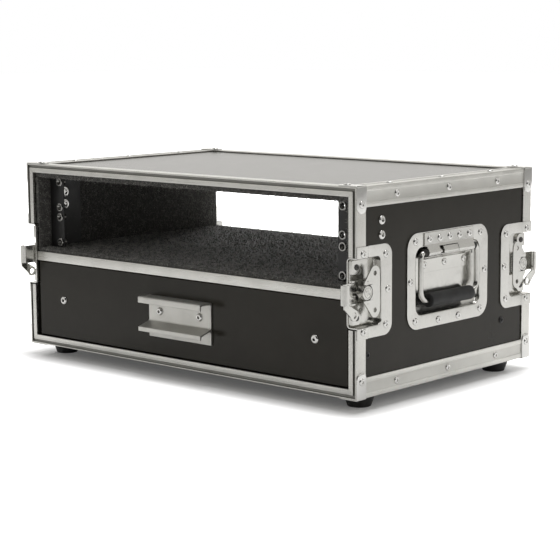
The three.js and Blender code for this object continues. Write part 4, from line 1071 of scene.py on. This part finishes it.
class RackRailsOperator(CasePiece, bpy.types.Operator):
    """Black rails with threaded inserts, and the bolts through the walls"""

    bl_idname = "roadcase.rack_rails"
    bl_label = "Rack rails"

    def make(self, sizes):
        low, high = span("right_rack_rail")
        front, middle = FRONT_Y + RAIL_BACK, RAIL_SHEET / 2
        corner = (RAIL_OUTER - middle, front + middle)
        line = [(low.x, front + middle), corner, (corner[0], front + RAIL_DEPTH)]
        outline = sheet_outline(filleted(line, 2.2, 6, closed=False), RAIL_SHEET)
        rail = prism("z", outline, low.z, high.z)
        inserts = [(INSERT_X, front, low.z + h) for h in INSERT_HEIGHTS]
        holes = [rod(Y, at, 4.6, -2, 4) for at in inserts]
        for sx, side in SIDE_NAME.items():
            obj = cut(solid(f"rail_{side}", flipped(rail, sx)), *[flipped(hole, sx) for hole in holes])
            softened(obj, 0.25 * MM)
            fitted(obj, "black_steel", "case", "black_steel", f"{side}_rack_rail")
        bolts = [(FRONT_Y + RAIL_BOLT_BACK, low.z + h) for h in RAIL_BOLT_HEIGHTS]
        rings = [((RAIL_OUTER - RAIL_SHEET, *at), -X) for at in bolts]
        domes = [((PANEL_X, *at), X) for at in bolts]
        slide_domes = [((PANEL_X, FRONT_Y + back, z), X) for back, z in SLIDE_BOLTS]
        self.pairs("rail_inserts", self.insert(), [(at, -Y) for at in inserts], "insert", "zinc_steel")
        self.pairs("rail_bolt_rings", self.ring(), rings, "fastener", "zinc_steel")
        self.pairs("rail_bolt_heads", self.dome(5.2, 2.4, 2.1), domes, "fastener", "zinc_steel")
        self.pairs("slide_bolt_heads", self.dome(3.8, 1.8, 1.5), slide_domes, "black_steel", "black_steel")

    def pairs(self, name, shape, places, finish, slot):
        """Heads on the right side and their mirror images on the left."""
        both = [turned_place(at, out, sx) for sx in (1, -1) for at, out in places]
        heads(name, shape, both, finish, "case", slot)

    def insert(self):
        """A flanged insert: its collar stands proud, and its bore shows its thread."""
        thread = [(2.9 if i % 2 else 3.25, 0.9 - 0.5 * i) for i in range(13)]
        outer = [(3.6, 1.5), (4.9, 1.5), (5.5, 0.9), (5.5, 0.02), (4.55, 0.02), (4.55, -6.0), (3.2, -6.0)]
        return turned([*thread[::-1], *outer], Z, (0, 0, 0), 40)

    def ring(self):
        """A bolt's round end in a washer."""
        return turned([
            (0, 0.6), (2.6, 0.6), (3.0, 0.9), (3.0, 2.0), (3.4, 2.4), (4.2, 2.4), (4.6, 2.0), (4.8, 1.0),
            (6.3, 0.9), (6.5, 0.6), (6.5, 0.05), (0, 0.05),
        ], Z, (0, 0, 0), 40)

    def dome(self, radius, height, hole):
        """A domed head with a round hole in its middle."""
        middle = [(0, 0.5), (hole, 0.5), (hole + 0.1, height - 0.3)]
        return turned([*middle, *domed(hole + 0.4, radius, 0.5, height)], Z, (0, 0, 0), 40)


# Shelf strip, drawer front and pull


class ShelfStripOperator(CasePiece, bpy.types.Operator):
    """Aluminium strip on the shelf's front edge"""

    bl_idname = "roadcase.shelf_strip"
    bl_label = "Shelf strip"

    def make(self, sizes):
        low, high = span("shelf_edge_strip")
        outline = filleted([(low.y, low.z), (high.y, low.z), (high.y, high.z), (low.y, high.z)], 0.5)
        obj = solid("shelf_strip", prism("x", outline, low.x, high.x))
        fitted(obj, "aluminium_x", "case", "aluminium", "shelf_edge_strip")


class DrawerFrontOperator(CasePiece, bpy.types.Operator):
    """Laminated drawer front with its two screws"""

    bl_idname = "roadcase.drawer_front"
    bl_label = "Drawer front"

    def make(self, sizes):
        low, high = span("drawer_front")
        board = block(low.x, high.x, DRAWER_FACE, high.y, low.z, high.z)
        obj = softened(solid("drawer_face", board), 0.6 * MM, 3)
        fitted(obj, "laminate", "drawer", "laminate", "drawer_front")
        places = [((DRAWER_SCREW_X * sx, DRAWER_FACE, DRAWER_SCREW_Z), -Y) for sx in (1, -1)]
        heads("drawer_face_screws", screw_head(5.2, 2.2, 2.5), places, "fastener", "drawer", "plated_steel")


def pull_outline():
    """The pull's section in (y, z): plate, top flange with a lip, and a sloped lower flange with a lip."""
    back, plate, tip = PULL_BACK, PULL_BACK - 2, PULL_BACK - 20
    lip = tip + 2
    corners = [
        ((back, 33), 0.4), ((back, 83), 0.8), ((tip, 83), 2.0), ((tip, 75.3), 0.8), ((lip, 75.3), 0.8),
        ((lip, 81), 2.0), ((plate, 81), 2.6), ((plate, 52.4), 2.6), ((lip, 47.4), 1.6), ((tip, 46.8), 1.8),
        ((tip, 41.4), 0.8), ((lip, 41.4), 0.8), ((lip, 45.2), 1.2), ((plate, 50.2), 2.6), ((plate, 33), 0.8),
    ]
    points = [point for point, _ in corners]
    outline = []
    for i, (point, radius) in enumerate(corners):
        around = [points[i - 1], point, points[(i + 1) % len(points)]]
        outline += filleted(around, radius, 5, closed=False)[1:-1]
    return outline


class PullOperator(CasePiece, bpy.types.Operator):
    """Extruded pull with its two screws"""

    bl_idname = "roadcase.pull"
    bl_label = "Pull"

    def make(self, sizes):
        obj = solid("pull", prism("x", pull_outline(), -PULL_HALF, PULL_HALF))
        softened(obj, sizes.edge_softness, 2, 60)
        fitted(obj, "pull_aluminium", "drawer", "aluminium", "drawer_pull")
        places = [((PULL_SCREW_X * sx, PULL_FACE, PULL_SCREW_Z), -Y) for sx in (1, -1)]
        heads("pull_screws", screw_head(4.9, 2.2, 2.3), places, "fastener", "drawer", "plated_steel")


# Recessed handle


def dish_surface():
    """The visible skin of the handle's dish: flange, round lip, coved bowl and floor."""
    lip, steps = 1.6, 10
    top, bottom = HANDLE_Z + HANDLE_HALF_HEIGHT, HANDLE_Z - HANDLE_HALF_HEIGHT
    edge = rounded_box(-HANDLE_HALF_WIDTH, HANDLE_HALF_WIDTH, bottom, top, HANDLE_CORNER, steps)
    outlines = [(DISH_TOP, edge)]
    for a in range(0, 91, 18):
        grow = lip * (1 - math.sin(math.radians(a)))
        outlines.append((DISH_TOP - lip * (1 - math.cos(math.radians(a))), bowl_outline(0, grow, steps)))
    for a in range(80, -1, -10):
        rise = (DISH_TOP - lip - DISH_FLOOR) * (1 - math.cos(math.radians(a)))
        outlines.append((DISH_FLOOR + rise, bowl_outline(1 - math.sin(math.radians(a)), 0, steps)))
    rings = [[(x, y, z) for y, z in outline] for x, outline in outlines]
    points, faces = skin(rings)
    return points, faces[:-2] + faces[-1:]


def bowl_outline(inward, grow, steps):
    """The bowl's outline on its way in from the opening (0) to the floor (1)."""
    half = BOWL_HALF + grow - FLOOR_INSET * inward
    low = BOWL_LOW - grow + FLOOR_INSET_BELOW * inward
    high = BOWL_HIGH + grow - FLOOR_INSET_ABOVE * inward
    return rounded_box(-half, half, low, high, BOWL_CORNER + grow + 2 * inward, steps)


def hinge_strap(wire):
    """The strap over the flange, round the rod and down to the floor, with its notches and slits."""
    on_flange, on_floor = DISH_TOP + FIT + STRAP_SHEET / 2, DISH_FLOOR + FIT + STRAP_SHEET / 2
    wrap, knee = wire + 0.5 + STRAP_SHEET / 2, 9.0
    slant = math.degrees(math.asin(wrap / knee))
    line = [
        (on_flange, STRAP_TOP), (on_flange, BAIL_Z + knee), *arc(BAIL_X, BAIL_Z, wrap, slant, -100, 14),
        (on_floor, LEAF_START), (on_floor, LEAF_END),
    ]
    outline = sheet_outline(filleted(line, 1.6, 4, closed=False), STRAP_SHEET)
    strap = prism("y", outline, -STRAP_HALF, STRAP_HALF)
    low, high, out = BAIL_Z - 7.5, BAIL_Z + 7.5, BAIL_X + wrap + 1
    tools = []
    for s in (1, -1):
        tools.append(block(DISH_FLOOR, out, KNUCKLE_HALF * s, (STRAP_HALF + 1) * s, low, high))
        tools.append(block(DISH_FLOOR, out, LEAF_HALF * s, (STRAP_HALF + 1) * s, HANDLE_Z, low))
    slit_low, slit_high = BAIL_Z - 2, BAIL_Z + 6.5
    tools.append(block(BAIL_X, out, -21.4, -15.0, slit_low, slit_high))
    tools.append(block(BAIL_X, out, -21.4, 12.8, slit_high - 0.8, slit_high))
    tools.append(block(BAIL_X, out, 12.0, 12.8, slit_low, slit_high))
    return strap, tools


def bail_path():
    upper = arc(BAIL_HALF - BAIL_TOP_BEND, BAIL_Z - BAIL_TOP_BEND, BAIL_TOP_BEND, 90, 0, 8)
    lower = arc(BAIL_HALF - BAIL_BEND, GRIP_Z + BAIL_BEND, BAIL_BEND, 0, -90, 12)
    right = [(0.4, BAIL_Z), *upper, *lower]
    left = [(-a, b) for a, b in right][::-1]
    return [(BAIL_X, a, b) for a, b in right + left]


def spring_shapes(sizes):
    """Torsion springs on the rod's ends, as wires wound round it."""
    wire, pitch, sides = 0.6, 1.75, 24
    coil = sizes.wire_radius / MM + wire + 0.05
    start = KNUCKLE_HALF + 0.5 + wire
    steps = sizes.spring_turns * sides - sides // 2
    points = []
    for i in range(steps + 1):
        turn = 2 * math.pi * i / sides
        x, z = BAIL_X + coil * math.cos(turn), BAIL_Z + coil * math.sin(turn)
        points.append((x, start + pitch * i / sides, z))
    x, y, z = points[-1]
    wire_shape = tube([*points, (x - 0.2, y + 0.3, z - 2.0), (x - 0.2, y + 0.3, z - 9.0)], wire, 10, Y)
    return [wire_shape, flipped(wire_shape, 1, -1)]


class HandlesOperator(CasePiece, bpy.types.Operator):
    """Recessed handles: dish, hinge strap, bail, springs and grip"""

    bl_idname = "roadcase.handles"
    bl_label = "Handles"

    def make(self, sizes):
        for sx, side in SIDE_NAME.items():
            dish = pressed(f"handle_dish_{side}", flipped(dish_surface(), sx), X * sx, DISH_SHEET * MM)
            fitted(dish, "plated", "case", "plated_steel", f"{side}_handle_dish")
            shape, tools = hinge_strap(sizes.wire_radius / MM)
            strap = solid(f"handle_strap_{side}", flipped(shape, sx))
            softened(cut(strap, *[flipped(tool, sx) for tool in tools]), 0.25 * MM, 2, 45)
            fitted(strap, "plated", "case", "plated_steel", f"{side}_handle_hinge_strap")
            swing = f"{side}_handle_swing"
            loop = solid(f"handle_bail_{side}", flipped(tube(bail_path(), sizes.wire_radius / MM, 24), sx))
            fitted(loop, "plated", swing, "plated_steel", f"{side}_handle_bail")
            coils = [flipped(coil, sx) for coil in spring_shapes(sizes)]
            fitted(solid(f"handle_springs_{side}", *coils), "dark_steel", swing, "plated_steel")
            grip = solid(f"handle_grip_{side}", flipped(self.grip(sizes), sx))
            fitted(grip, "rubber", swing, "rubber", f"{side}_handle_grip")

    def grip(self, sizes):
        """A turned grip with rounded ends and a faint waist."""
        radius, bore = sizes.grip_radius / MM, sizes.wire_radius / MM + FIT
        half, edge, waist = BAIL_HALF - BAIL_BEND - FIT, 1.5, 0.2
        barrel = []
        for i in range(11):
            share = i / 10
            along = edge - half + 2 * (half - edge) * share
            barrel.append((radius - waist * math.sin(math.pi * share), along))
        low = [(radius - edge + edge * math.sin(t), -half + edge - edge * math.cos(t))
               for t in [math.radians(a) for a in range(0, 90, 18)]]
        high = [(r, -h) for r, h in low][::-1]
        return turned([(bore, -half), *low, *barrel, *high, (bore, half)], Y, (BAIL_X, 0, GRIP_Z), 48)


# Recessed butterfly latch of the front right corner


def latch_level(back):
    """Height of the flange at a distance back: high over the lid frame, low on the panel."""
    share = min(max((back - 17.6) / 3.6, 0), 1)
    ease = (1 - math.cos(math.pi * share)) / 2
    return LATCH_HIGH + (DISH_TOP - LATCH_HIGH) * ease


def latch_surface():
    """The visible skin of the latch's dish: stepped flange, round lip, walls, floor and no front wall."""
    half, back, corner = LATCH_HALF, LATCH_BACK, 6.0
    outer_half, outer_back, outer_corner = 50.0, 61.5, 13.0
    lip, fillet, centre = 1.4, 3.6, 30.0
    step = [0.6, 9.0, 17.6, 18.5, 19.4, 20.3, 21.2, 29.0]
    stations = [((b, half), (b, outer_half), (0, -1), b) for b in step]
    for i in range(9):
        t = math.radians(90 - 90 * i / 8)
        c, s = math.cos(t), math.sin(t)
        near = (back - corner + corner * c, half - corner + corner * s)
        far = (outer_back - outer_corner + outer_corner * c, outer_half - outer_corner + outer_corner * s)
        stations.append((near, far, (-c, -s), centre))
    lower = [((a, -b), (c, -d), (e, -f), g) for (a, b), (c, d), (e, f), g in stations][::-1]
    rows = []
    for near, far, inward, middle in stations + lower:
        near, far, inward = Vector(near), Vector(far), Vector(inward)
        row = [(latch_level(far.x), far)]
        top = latch_level(near.x)
        for a in range(0, 91, 18):
            t = math.radians(a)
            row.append((top - lip * (1 - math.cos(t)), near - inward * lip * (1 - math.sin(t))))
        for a in range(0, 91, 15):
            t = math.radians(a)
            level = LATCH_FLOOR + fillet * (1 - math.sin(t))
            row.append((level, near + inward * fillet * (1 - math.cos(t))))
        row.append((LATCH_FLOOR, Vector((min(middle, centre), 0))))
        rows.append([(x, FRONT_Y + p.x, LATCH_Z + p.y) for x, p in row])
    width = len(rows[0])
    points = [p for row in rows for p in row]
    faces = []
    for r in range(len(rows) - 1):
        for i in range(width - 1):
            a, b = r * width + i, (r + 1) * width + i
            faces.append((a, a + 1, b + 1, b))
    return points, faces


def latch_base():
    """Base plate with two guides for the hook and a screwed ear above it."""
    y0, y1 = FRONT_Y + 1.8, FRONT_Y + 41
    plate = rounded_box(y0, y1, LATCH_Z - 35.6, LATCH_Z + 35.6, 2.5, 4)
    shapes = [prism("x", plate, LATCH_FLOOR + 0.05, BASE_TOP)]
    for s in (1, -1):
        low, high = sorted((LATCH_Z + 11.3 * s, LATCH_Z + 13.3 * s))
        shapes.append(prism("z", rounded_box(BASE_TOP - 0.5, BASE_TOP + 3, y0, y1 - 2, 0.8, 3), low, high))
    y2 = y0 + 16
    ear = filleted([(y0, 20), (y2 - 4, 20), (y2, 24), (y2, 31), (y2 - 4, 35), (y0, 35)], 1.0)
    for s in (1, -1):
        outline = [(y, LATCH_Z + z * s) for y, z in ear]
        shapes.append(prism("x", outline, BASE_TOP - 0.5, BASE_TOP + 3))
    return shapes


def latch_hub():
    """The hub's drum with rings in its face, the eccentric pin under it, the axle, and the face's slot."""
    y, top = FRONT_Y + PIVOT, HUB_TOP
    profile = [
        (0, HOOK_X), (2.3, HOOK_X), (2.5, HOOK_X + 0.2), (2.5, DISC_X), (7.6, DISC_X), (8.0, DISC_X + 0.4),
        (8.0, top - 0.8), (7.4, top - 0.2), (6.4, top), (6.0, top - 0.1), (5.8, top - 0.6), (5.2, top - 0.6),
        (5.0, top - 0.1), (3.4, top), (3.2, top - 0.3), (2.9, top - 0.3), (2.7, top - 0.05), (0, top),
    ]
    drum = turned(profile, X, (0, y, LATCH_Z), 56)
    pin = rod(X, (0, y - 6, LATCH_Z), 1.5, HOOK_X, DISC_X + 1, 20)
    axle = rod(Z, (PIN_X, y, LATCH_Z), 1.2, -12.3, 12.3, 24)
    slot = block(top - 0.5, top + 1, y - 0.4, y + 0.4, LATCH_Z - 2.3, LATCH_Z + 2.3)
    return drum, [pin, axle], slot


def butterfly_outline():
    upper = [(21.0, 11.0), *arc(12.5, 20.0, 8.2, 4, 150, 16), (-4.2, 12.4), (-5.2, 11.4)]
    points = upper + [(a, -b) for a, b in upper][::-1]
    return [(FRONT_Y + PIVOT + a, LATCH_Z + b) for a, b in points]


def butterfly():
    """The folding plate: two round lobes with holes, a notch for the hub and two barrels on the pin."""
    y = FRONT_Y + PIVOT
    x0, x1 = PLATE_X - 2, PLATE_X + 4
    plate = prism("x", butterfly_outline(), PLATE_X, PLATE_X + 1.6)
    tools = [rod(X, (0, y, LATCH_Z), 8.6, x0, x1, 64), block(x0, x1, y - 8, y, LATCH_Z - 8.6, LATCH_Z + 8.6)]
    tools += [rod(X, (0, y + 12.5, LATCH_Z + z), 2.6, x0, x1, 32) for z in (20, -20)]
    barrels = [rod(Z, (PIN_X, y, LATCH_Z), 2.3, s * 8.6, s * 12.4, 32) for s in (1, -1)]
    return plate, tools, barrels, rod(Z, (PIN_X, y, LATCH_Z), 1.5, -14, 14, 24)


def hook():
    """The sliding hook: a flat arm with two slots, a curled front and an eye for a padlock."""
    t, curl, width = 2.0, 3.8, 22.0
    arm, tip = HOOK_X + t / 2, FRONT_Y - 16.0
    line = [
        (arm, FRONT_Y + PIVOT + 8.4), (arm, tip + curl), *arc(arm + curl, tip + curl, curl, 186, 345, 14),
        (arm + 2 * curl - 0.3, tip + curl + 2.2),
    ]
    body = prism("z", sheet_outline(line, t), LATCH_Z - width / 2, LATCH_Z + width / 2)
    y = FRONT_Y + PIVOT
    cross = rounded_box(y - 9, y - 3, LATCH_Z - 7.8, LATCH_Z + 7.8, 2.9, 5)
    post = rounded_box(y - 14.8, y + 2.8, LATCH_Z - 2.8, LATCH_Z + 2.8, 2.7, 5)
    tools = [prism("x", cross, HOOK_X - 2, HOOK_X + 4), prism("x", post, HOOK_X - 2, HOOK_X + 4)]
    x1 = arm + 2 * curl - t / 2
    x0 = x1 - 2.0
    eye_y, eye_z = FRONT_Y + 0.5, LATCH_Z - 23
    web = [
        (tip, LATCH_Z - 7), (tip, LATCH_Z - 15), (eye_y - 6.0, eye_z - 1.5),
        *arc(eye_y, eye_z, 6.2, 195, 430, 20), (tip + 8, LATCH_Z - 11.3), (tip + 8, LATCH_Z - 7),
    ]
    hole = rod(X, (0, eye_y, eye_z), 3.4, x0 - 2, x1 + 2, 32)
    return body, tools, prism("x", web, x0, x1), hole


class LatchesOperator(CasePiece, bpy.types.Operator):
    """Recessed butterfly latches: dish with base, hub, folding plate and hook"""

    bl_idname = "roadcase.latches"
    bl_label = "Latches"

    def make(self, sizes):
        for sx, sy in CORNERS:
            name = f"{END_NAME[sy]}_{SIDE_NAME[sx]}_latch"

            def place(shape):
                return flipped(shape, sx, -sy)

            dish = pressed(f"latch_dish_{name}", place(latch_surface()), X * sx, DISH_SHEET * MM)
            fitted(dish, "plated", "case", "plated_steel", f"{name}_dish")
            base = softened(solid(f"latch_base_{name}", *map(place, latch_base())), 0.25 * MM, 2, 45)
            fitted(base, "plated", "case", "plated_steel")
            self.hub(name, place)
            self.plate(name, place)
            self.hook(name, place)
        screws = []
        for sx, sy in CORNERS:
            for z in (27.5, -27.5):
                screws.append(turned_place((BASE_TOP + 3, FRONT_Y + 9.8, LATCH_Z + z), X, sx, -sy))
        heads("latch_screws", screw_head(3.4, 1.5, 1.3), screws, "dark_steel", "case", "plated_steel")

    def hub(self, name, place):
        drum, extra, slot = latch_hub()
        obj = cut(weld(solid(f"hub_{name}", place(drum)), *map(place, extra)), place(slot))
        fitted(obj, "plated", f"{name}_hub", "plated_steel", f"{name}_hub")

    def plate(self, name, place):
        sheet, tools, barrels, bore = butterfly()
        obj = cut(solid(f"butterfly_{name}", place(sheet)), *map(place, tools))
        weld(obj, *map(place, barrels))
        cut(obj, place(bore))
        softened(obj, 0.22 * MM, 2, 45)
        fitted(obj, "plated", f"{name}_butterfly", "plated_steel", f"{name}_butterfly")

    def hook(self, name, place):
        body, tools, web, hole = hook()
        obj = cut(solid(f"hook_{name}", place(body)), *map(place, tools))
        weld(obj, place(web))
        cut(obj, place(hole))
        softened(obj, 0.25 * MM, 2, 45)
        fitted(obj, "plated", f"{name}_hook", "plated_steel", f"{name}_hook")


# Feet


class FeetOperator(CasePiece, bpy.types.Operator):
    """Tapered rubber feet with a washer and a screw in the sole"""

    bl_idname = "roadcase.feet"
    bl_label = "Feet"

    def make(self, sizes):
        for sx, sy in CORNERS:
            place = f"{END_NAME[sy]}_{SIDE_NAME[sx]}"
            low, high = span(f"{place}_foot")
            middle = (low + high) / 2
            at = (middle.x, middle.y, 0)
            foot = solid(f"foot_{place}", self.foot(low.z, high.z, at))
            fitted(foot, "rubber", "case", "rubber", f"{place}_foot")
            profile = [(0, 5.6), (2, 5.4), (3.4, 4.2), (6.2, 4.0), (6.2, 6.2), (0, 6.2)]
            washer = turned([(radius, low.z + height) for radius, height in profile], Z, at, 32)
            fitted(solid(f"foot_screw_{place}_foot", washer), "fastener", "case", "plated_steel")

    def foot(self, low, high, at):
        """A turned foot: wider at its top, with a round edge and a hollow for the screw in its sole."""
        top, bottom, edge = 17.5, 13.5, 1.6
        return turned([
            (0, low + 6), (6.6, low + 6), (6.8, low + 0.6), (7.3, low),
            *crown(bottom - edge, bottom, low + edge, low), (top - 0.4, high - 2.6), (top, high - 1.8),
            (top, high - 0.4), (top - 0.4, high), (0, high),
        ], Z, at, 64)


# Stage


class StageOperator(CasePiece, bpy.types.Operator):
    """Camera, floor, lamps and surroundings"""

    bl_idname = "roadcase.stage"
    bl_label = "Stage"

    def make(self, sizes):
        self.camera()
        self.floor()
        self.lamps()
        self.surroundings()
        bpy.context.scene.view_settings.view_transform = "Standard"

    def camera(self):
        """The photograph's place and angle: azimuth, elevation and roll in degrees."""
        azimuth, elevation, roll = map(math.radians, (42.05, 8.42, -0.37))
        level = math.cos(elevation)
        back = Vector((math.sin(azimuth) * level, -math.cos(azimuth) * level, math.sin(elevation)))
        side = Z.cross(back).normalized()
        above = back.cross(side)
        right = side * math.cos(roll) + above * math.sin(roll)
        up = above * math.cos(roll) - side * math.sin(roll)
        data = bpy.data.cameras.new("camera")
        data.sensor_width = 36
        data.lens = 107.36
        data.clip_start, data.clip_end = 0.05, 50
        obj = bpy.data.objects.new("camera", data)
        bpy.context.scene.collection.objects.link(obj)
        place = Matrix((right, up, back)).transposed().to_4x4()
        place.translation = Vector((1.380, -1.517, 0.405))
        obj.matrix_world = place
        bpy.context.scene.camera = obj

    def floor(self):
        """White to the camera, with light of its own that grows with the distance from the case's footprint.
        It is weak near the case, which paints a shadow round it on top of the lamps' real shadow.
        """
        reach = 12.0
        mesh = bpy.data.meshes.new("floor")
        corners = [(-reach, -reach, 0), (reach, -reach, 0), (reach, reach, 0), (-reach, reach, 0)]
        mesh.from_pydata(corners, [], [(0, 1, 2, 3)])
        obj = new_object("floor", mesh)
        mat, tree, surface = shader("floor", (0.86, 0.86, 0.86), 0.9, extra={
            "Specular IOR Level": 0.1, "Emission Color": (1, 1, 1, 1),
        })
        place = vector_maths(tree, "ABSOLUTE", node(tree, "ShaderNodeTexCoord").outputs["Object"])
        outside = vector_maths(tree, "SUBTRACT", place, (SIDE_X * MM, -FRONT_Y * MM, 0))
        distance = vector_maths(tree, "LENGTH", vector_maths(tree, "MAXIMUM", outside, (0, 0, 0)))
        # Painted shadow: the floor's emission is weak at the case's footprint and full 5 cm out
        painted_shadow_glow = ramp(tree, distance, [(0.0, 0.08), (0.015, 0.33), (0.035, 0.88), (0.05, 1.0)])
        ray = node(tree, "ShaderNodeLightPath").outputs
        seen = maths(tree, "MULTIPLY_ADD", ray["Is Glossy Ray"], 0.05, ray["Is Camera Ray"])
        tree.links.new(maths(tree, "MULTIPLY", seen, painted_shadow_glow), surface.inputs["Emission Strength"])
        obj.data.materials.append(mat)

    def lamps(self):
        """Square lamps. Metal and laminate don't mirror the rear one, which would show as a white patch."""
        lamps = [
            ("key", (-1.2, -2.2, 2.6), 1.6, 6),
            ("side", (2.6, -0.2, 1.8), 1.2, 6),
            ("top", (0.2, 0.5, 2.7), 1.8, 46),
            ("rear", (-1.3, 2.0, 0.8), 1.0, 55),
        ]
        for name, place, size, power in lamps:
            data = bpy.data.lights.new(name, "AREA")
            data.shape = "SQUARE"
            data.size = size
            data.energy = power
            obj = bpy.data.objects.new(name, data)
            obj.location = place
            obj.rotation_euler = (Vector((0, 0, 0.1)) - Vector(place)).to_track_quat("-Z", "Y").to_euler()
            obj.visible_glossy = name != "rear"
            bpy.context.scene.collection.objects.link(obj)

    def surroundings(self):
        """White to the camera. Reflections see a white cove behind the case and a darker room in front."""
        world = bpy.data.worlds.new("studio")
        world.use_nodes = True
        bpy.context.scene.world = world
        tree = world.node_tree
        direction = node(tree, "ShaderNodeTexCoord").outputs["Generated"]
        ray = node(tree, "ShaderNodeLightPath").outputs

        def eased(source, low, high, at_low, at_high):
            return node(tree, "ShaderNodeMapRange", {
                "Value": source, "From Min": low, "From Max": high, "To Min": at_low, "To Max": at_high,
            }, interpolation_type="SMOOTHSTEP").outputs["Result"]

        def towards(*way):
            return vector_maths(tree, "DOT_PRODUCT", direction, Vector(way).normalized())

        height = node(tree, "ShaderNodeSeparateXYZ", {"Vector": direction}).outputs["Z"]
        overhead = eased(height, 0.3, 0.8, 0.68, 0.2)
        dark_room = eased(towards(0.66, -0.735, 0.12), 0.42, 0.74, 1.0, 0.03)
        bright_wall = eased(towards(-0.66, 0.735, 0.2), 0.75, 0.95, 1.0, 1.6)
        mirrored = maths(tree, "MULTIPLY", maths(tree, "MULTIPLY", overhead, dark_room), bright_wall)
        lit = mixed(tree, ray["Is Glossy Ray"], 0.36, mirrored, "FLOAT")
        strength = maths(tree, "MAXIMUM", lit, ray["Is Camera Ray"])
        tint = mixed(tree, ray["Is Camera Ray"], (1, 0.985, 0.95, 1), (1, 1, 1, 1))
        background = tree.nodes["Background"]
        tree.links.new(strength, background.inputs["Strength"])
        tree.links.new(tint, background.inputs["Color"])


OPERATORS = [
    BoardsOperator, LidFramesOperator, EdgeAnglesOperator, CornerStrapsOperator, RivetsOperator,
    LiningsOperator, RackRailsOperator, ShelfStripOperator, DrawerFrontOperator, PullOperator,
    HandlesOperator, LatchesOperator, FeetOperator, StageOperator,
]


class RoadCasePanel(bpy.types.Panel):
    """Lists the pieces of the road case"""

    bl_idname = "VIEW3D_PT_road_case"
    bl_label = "Road case"
    bl_space_type = "VIEW_3D"
    bl_region_type = "UI"
    bl_category = "Road case"

    def draw(self, context):
        for settings in (context.scene.road_case_sizes, context.scene.road_case_colours):
            for name in settings.__annotations__:
                self.layout.prop(settings, name)
        for operator in OPERATORS:
            self.layout.operator(operator.bl_idname)


CLASSES = [RoadCaseSizes, RoadCaseColours, *OPERATORS, RoadCasePanel]


def register():
    for cls in CLASSES:
        bpy.utils.register_class(cls)
    bpy.types.Scene.road_case_sizes = bpy.props.PointerProperty(type=RoadCaseSizes)
    bpy.types.Scene.road_case_colours = bpy.props.PointerProperty(type=RoadCaseColours)


def unregister():
    del bpy.types.Scene.road_case_colours
    del bpy.types.Scene.road_case_sizes
    for cls in reversed(CLASSES):
        bpy.utils.unregister_class(cls)


def main():
    register()
    for operator in OPERATORS:
        group, name = operator.bl_idname.split(".")
        getattr(getattr(bpy.ops, group), name)()


if __name__ == "__main__":
    main()
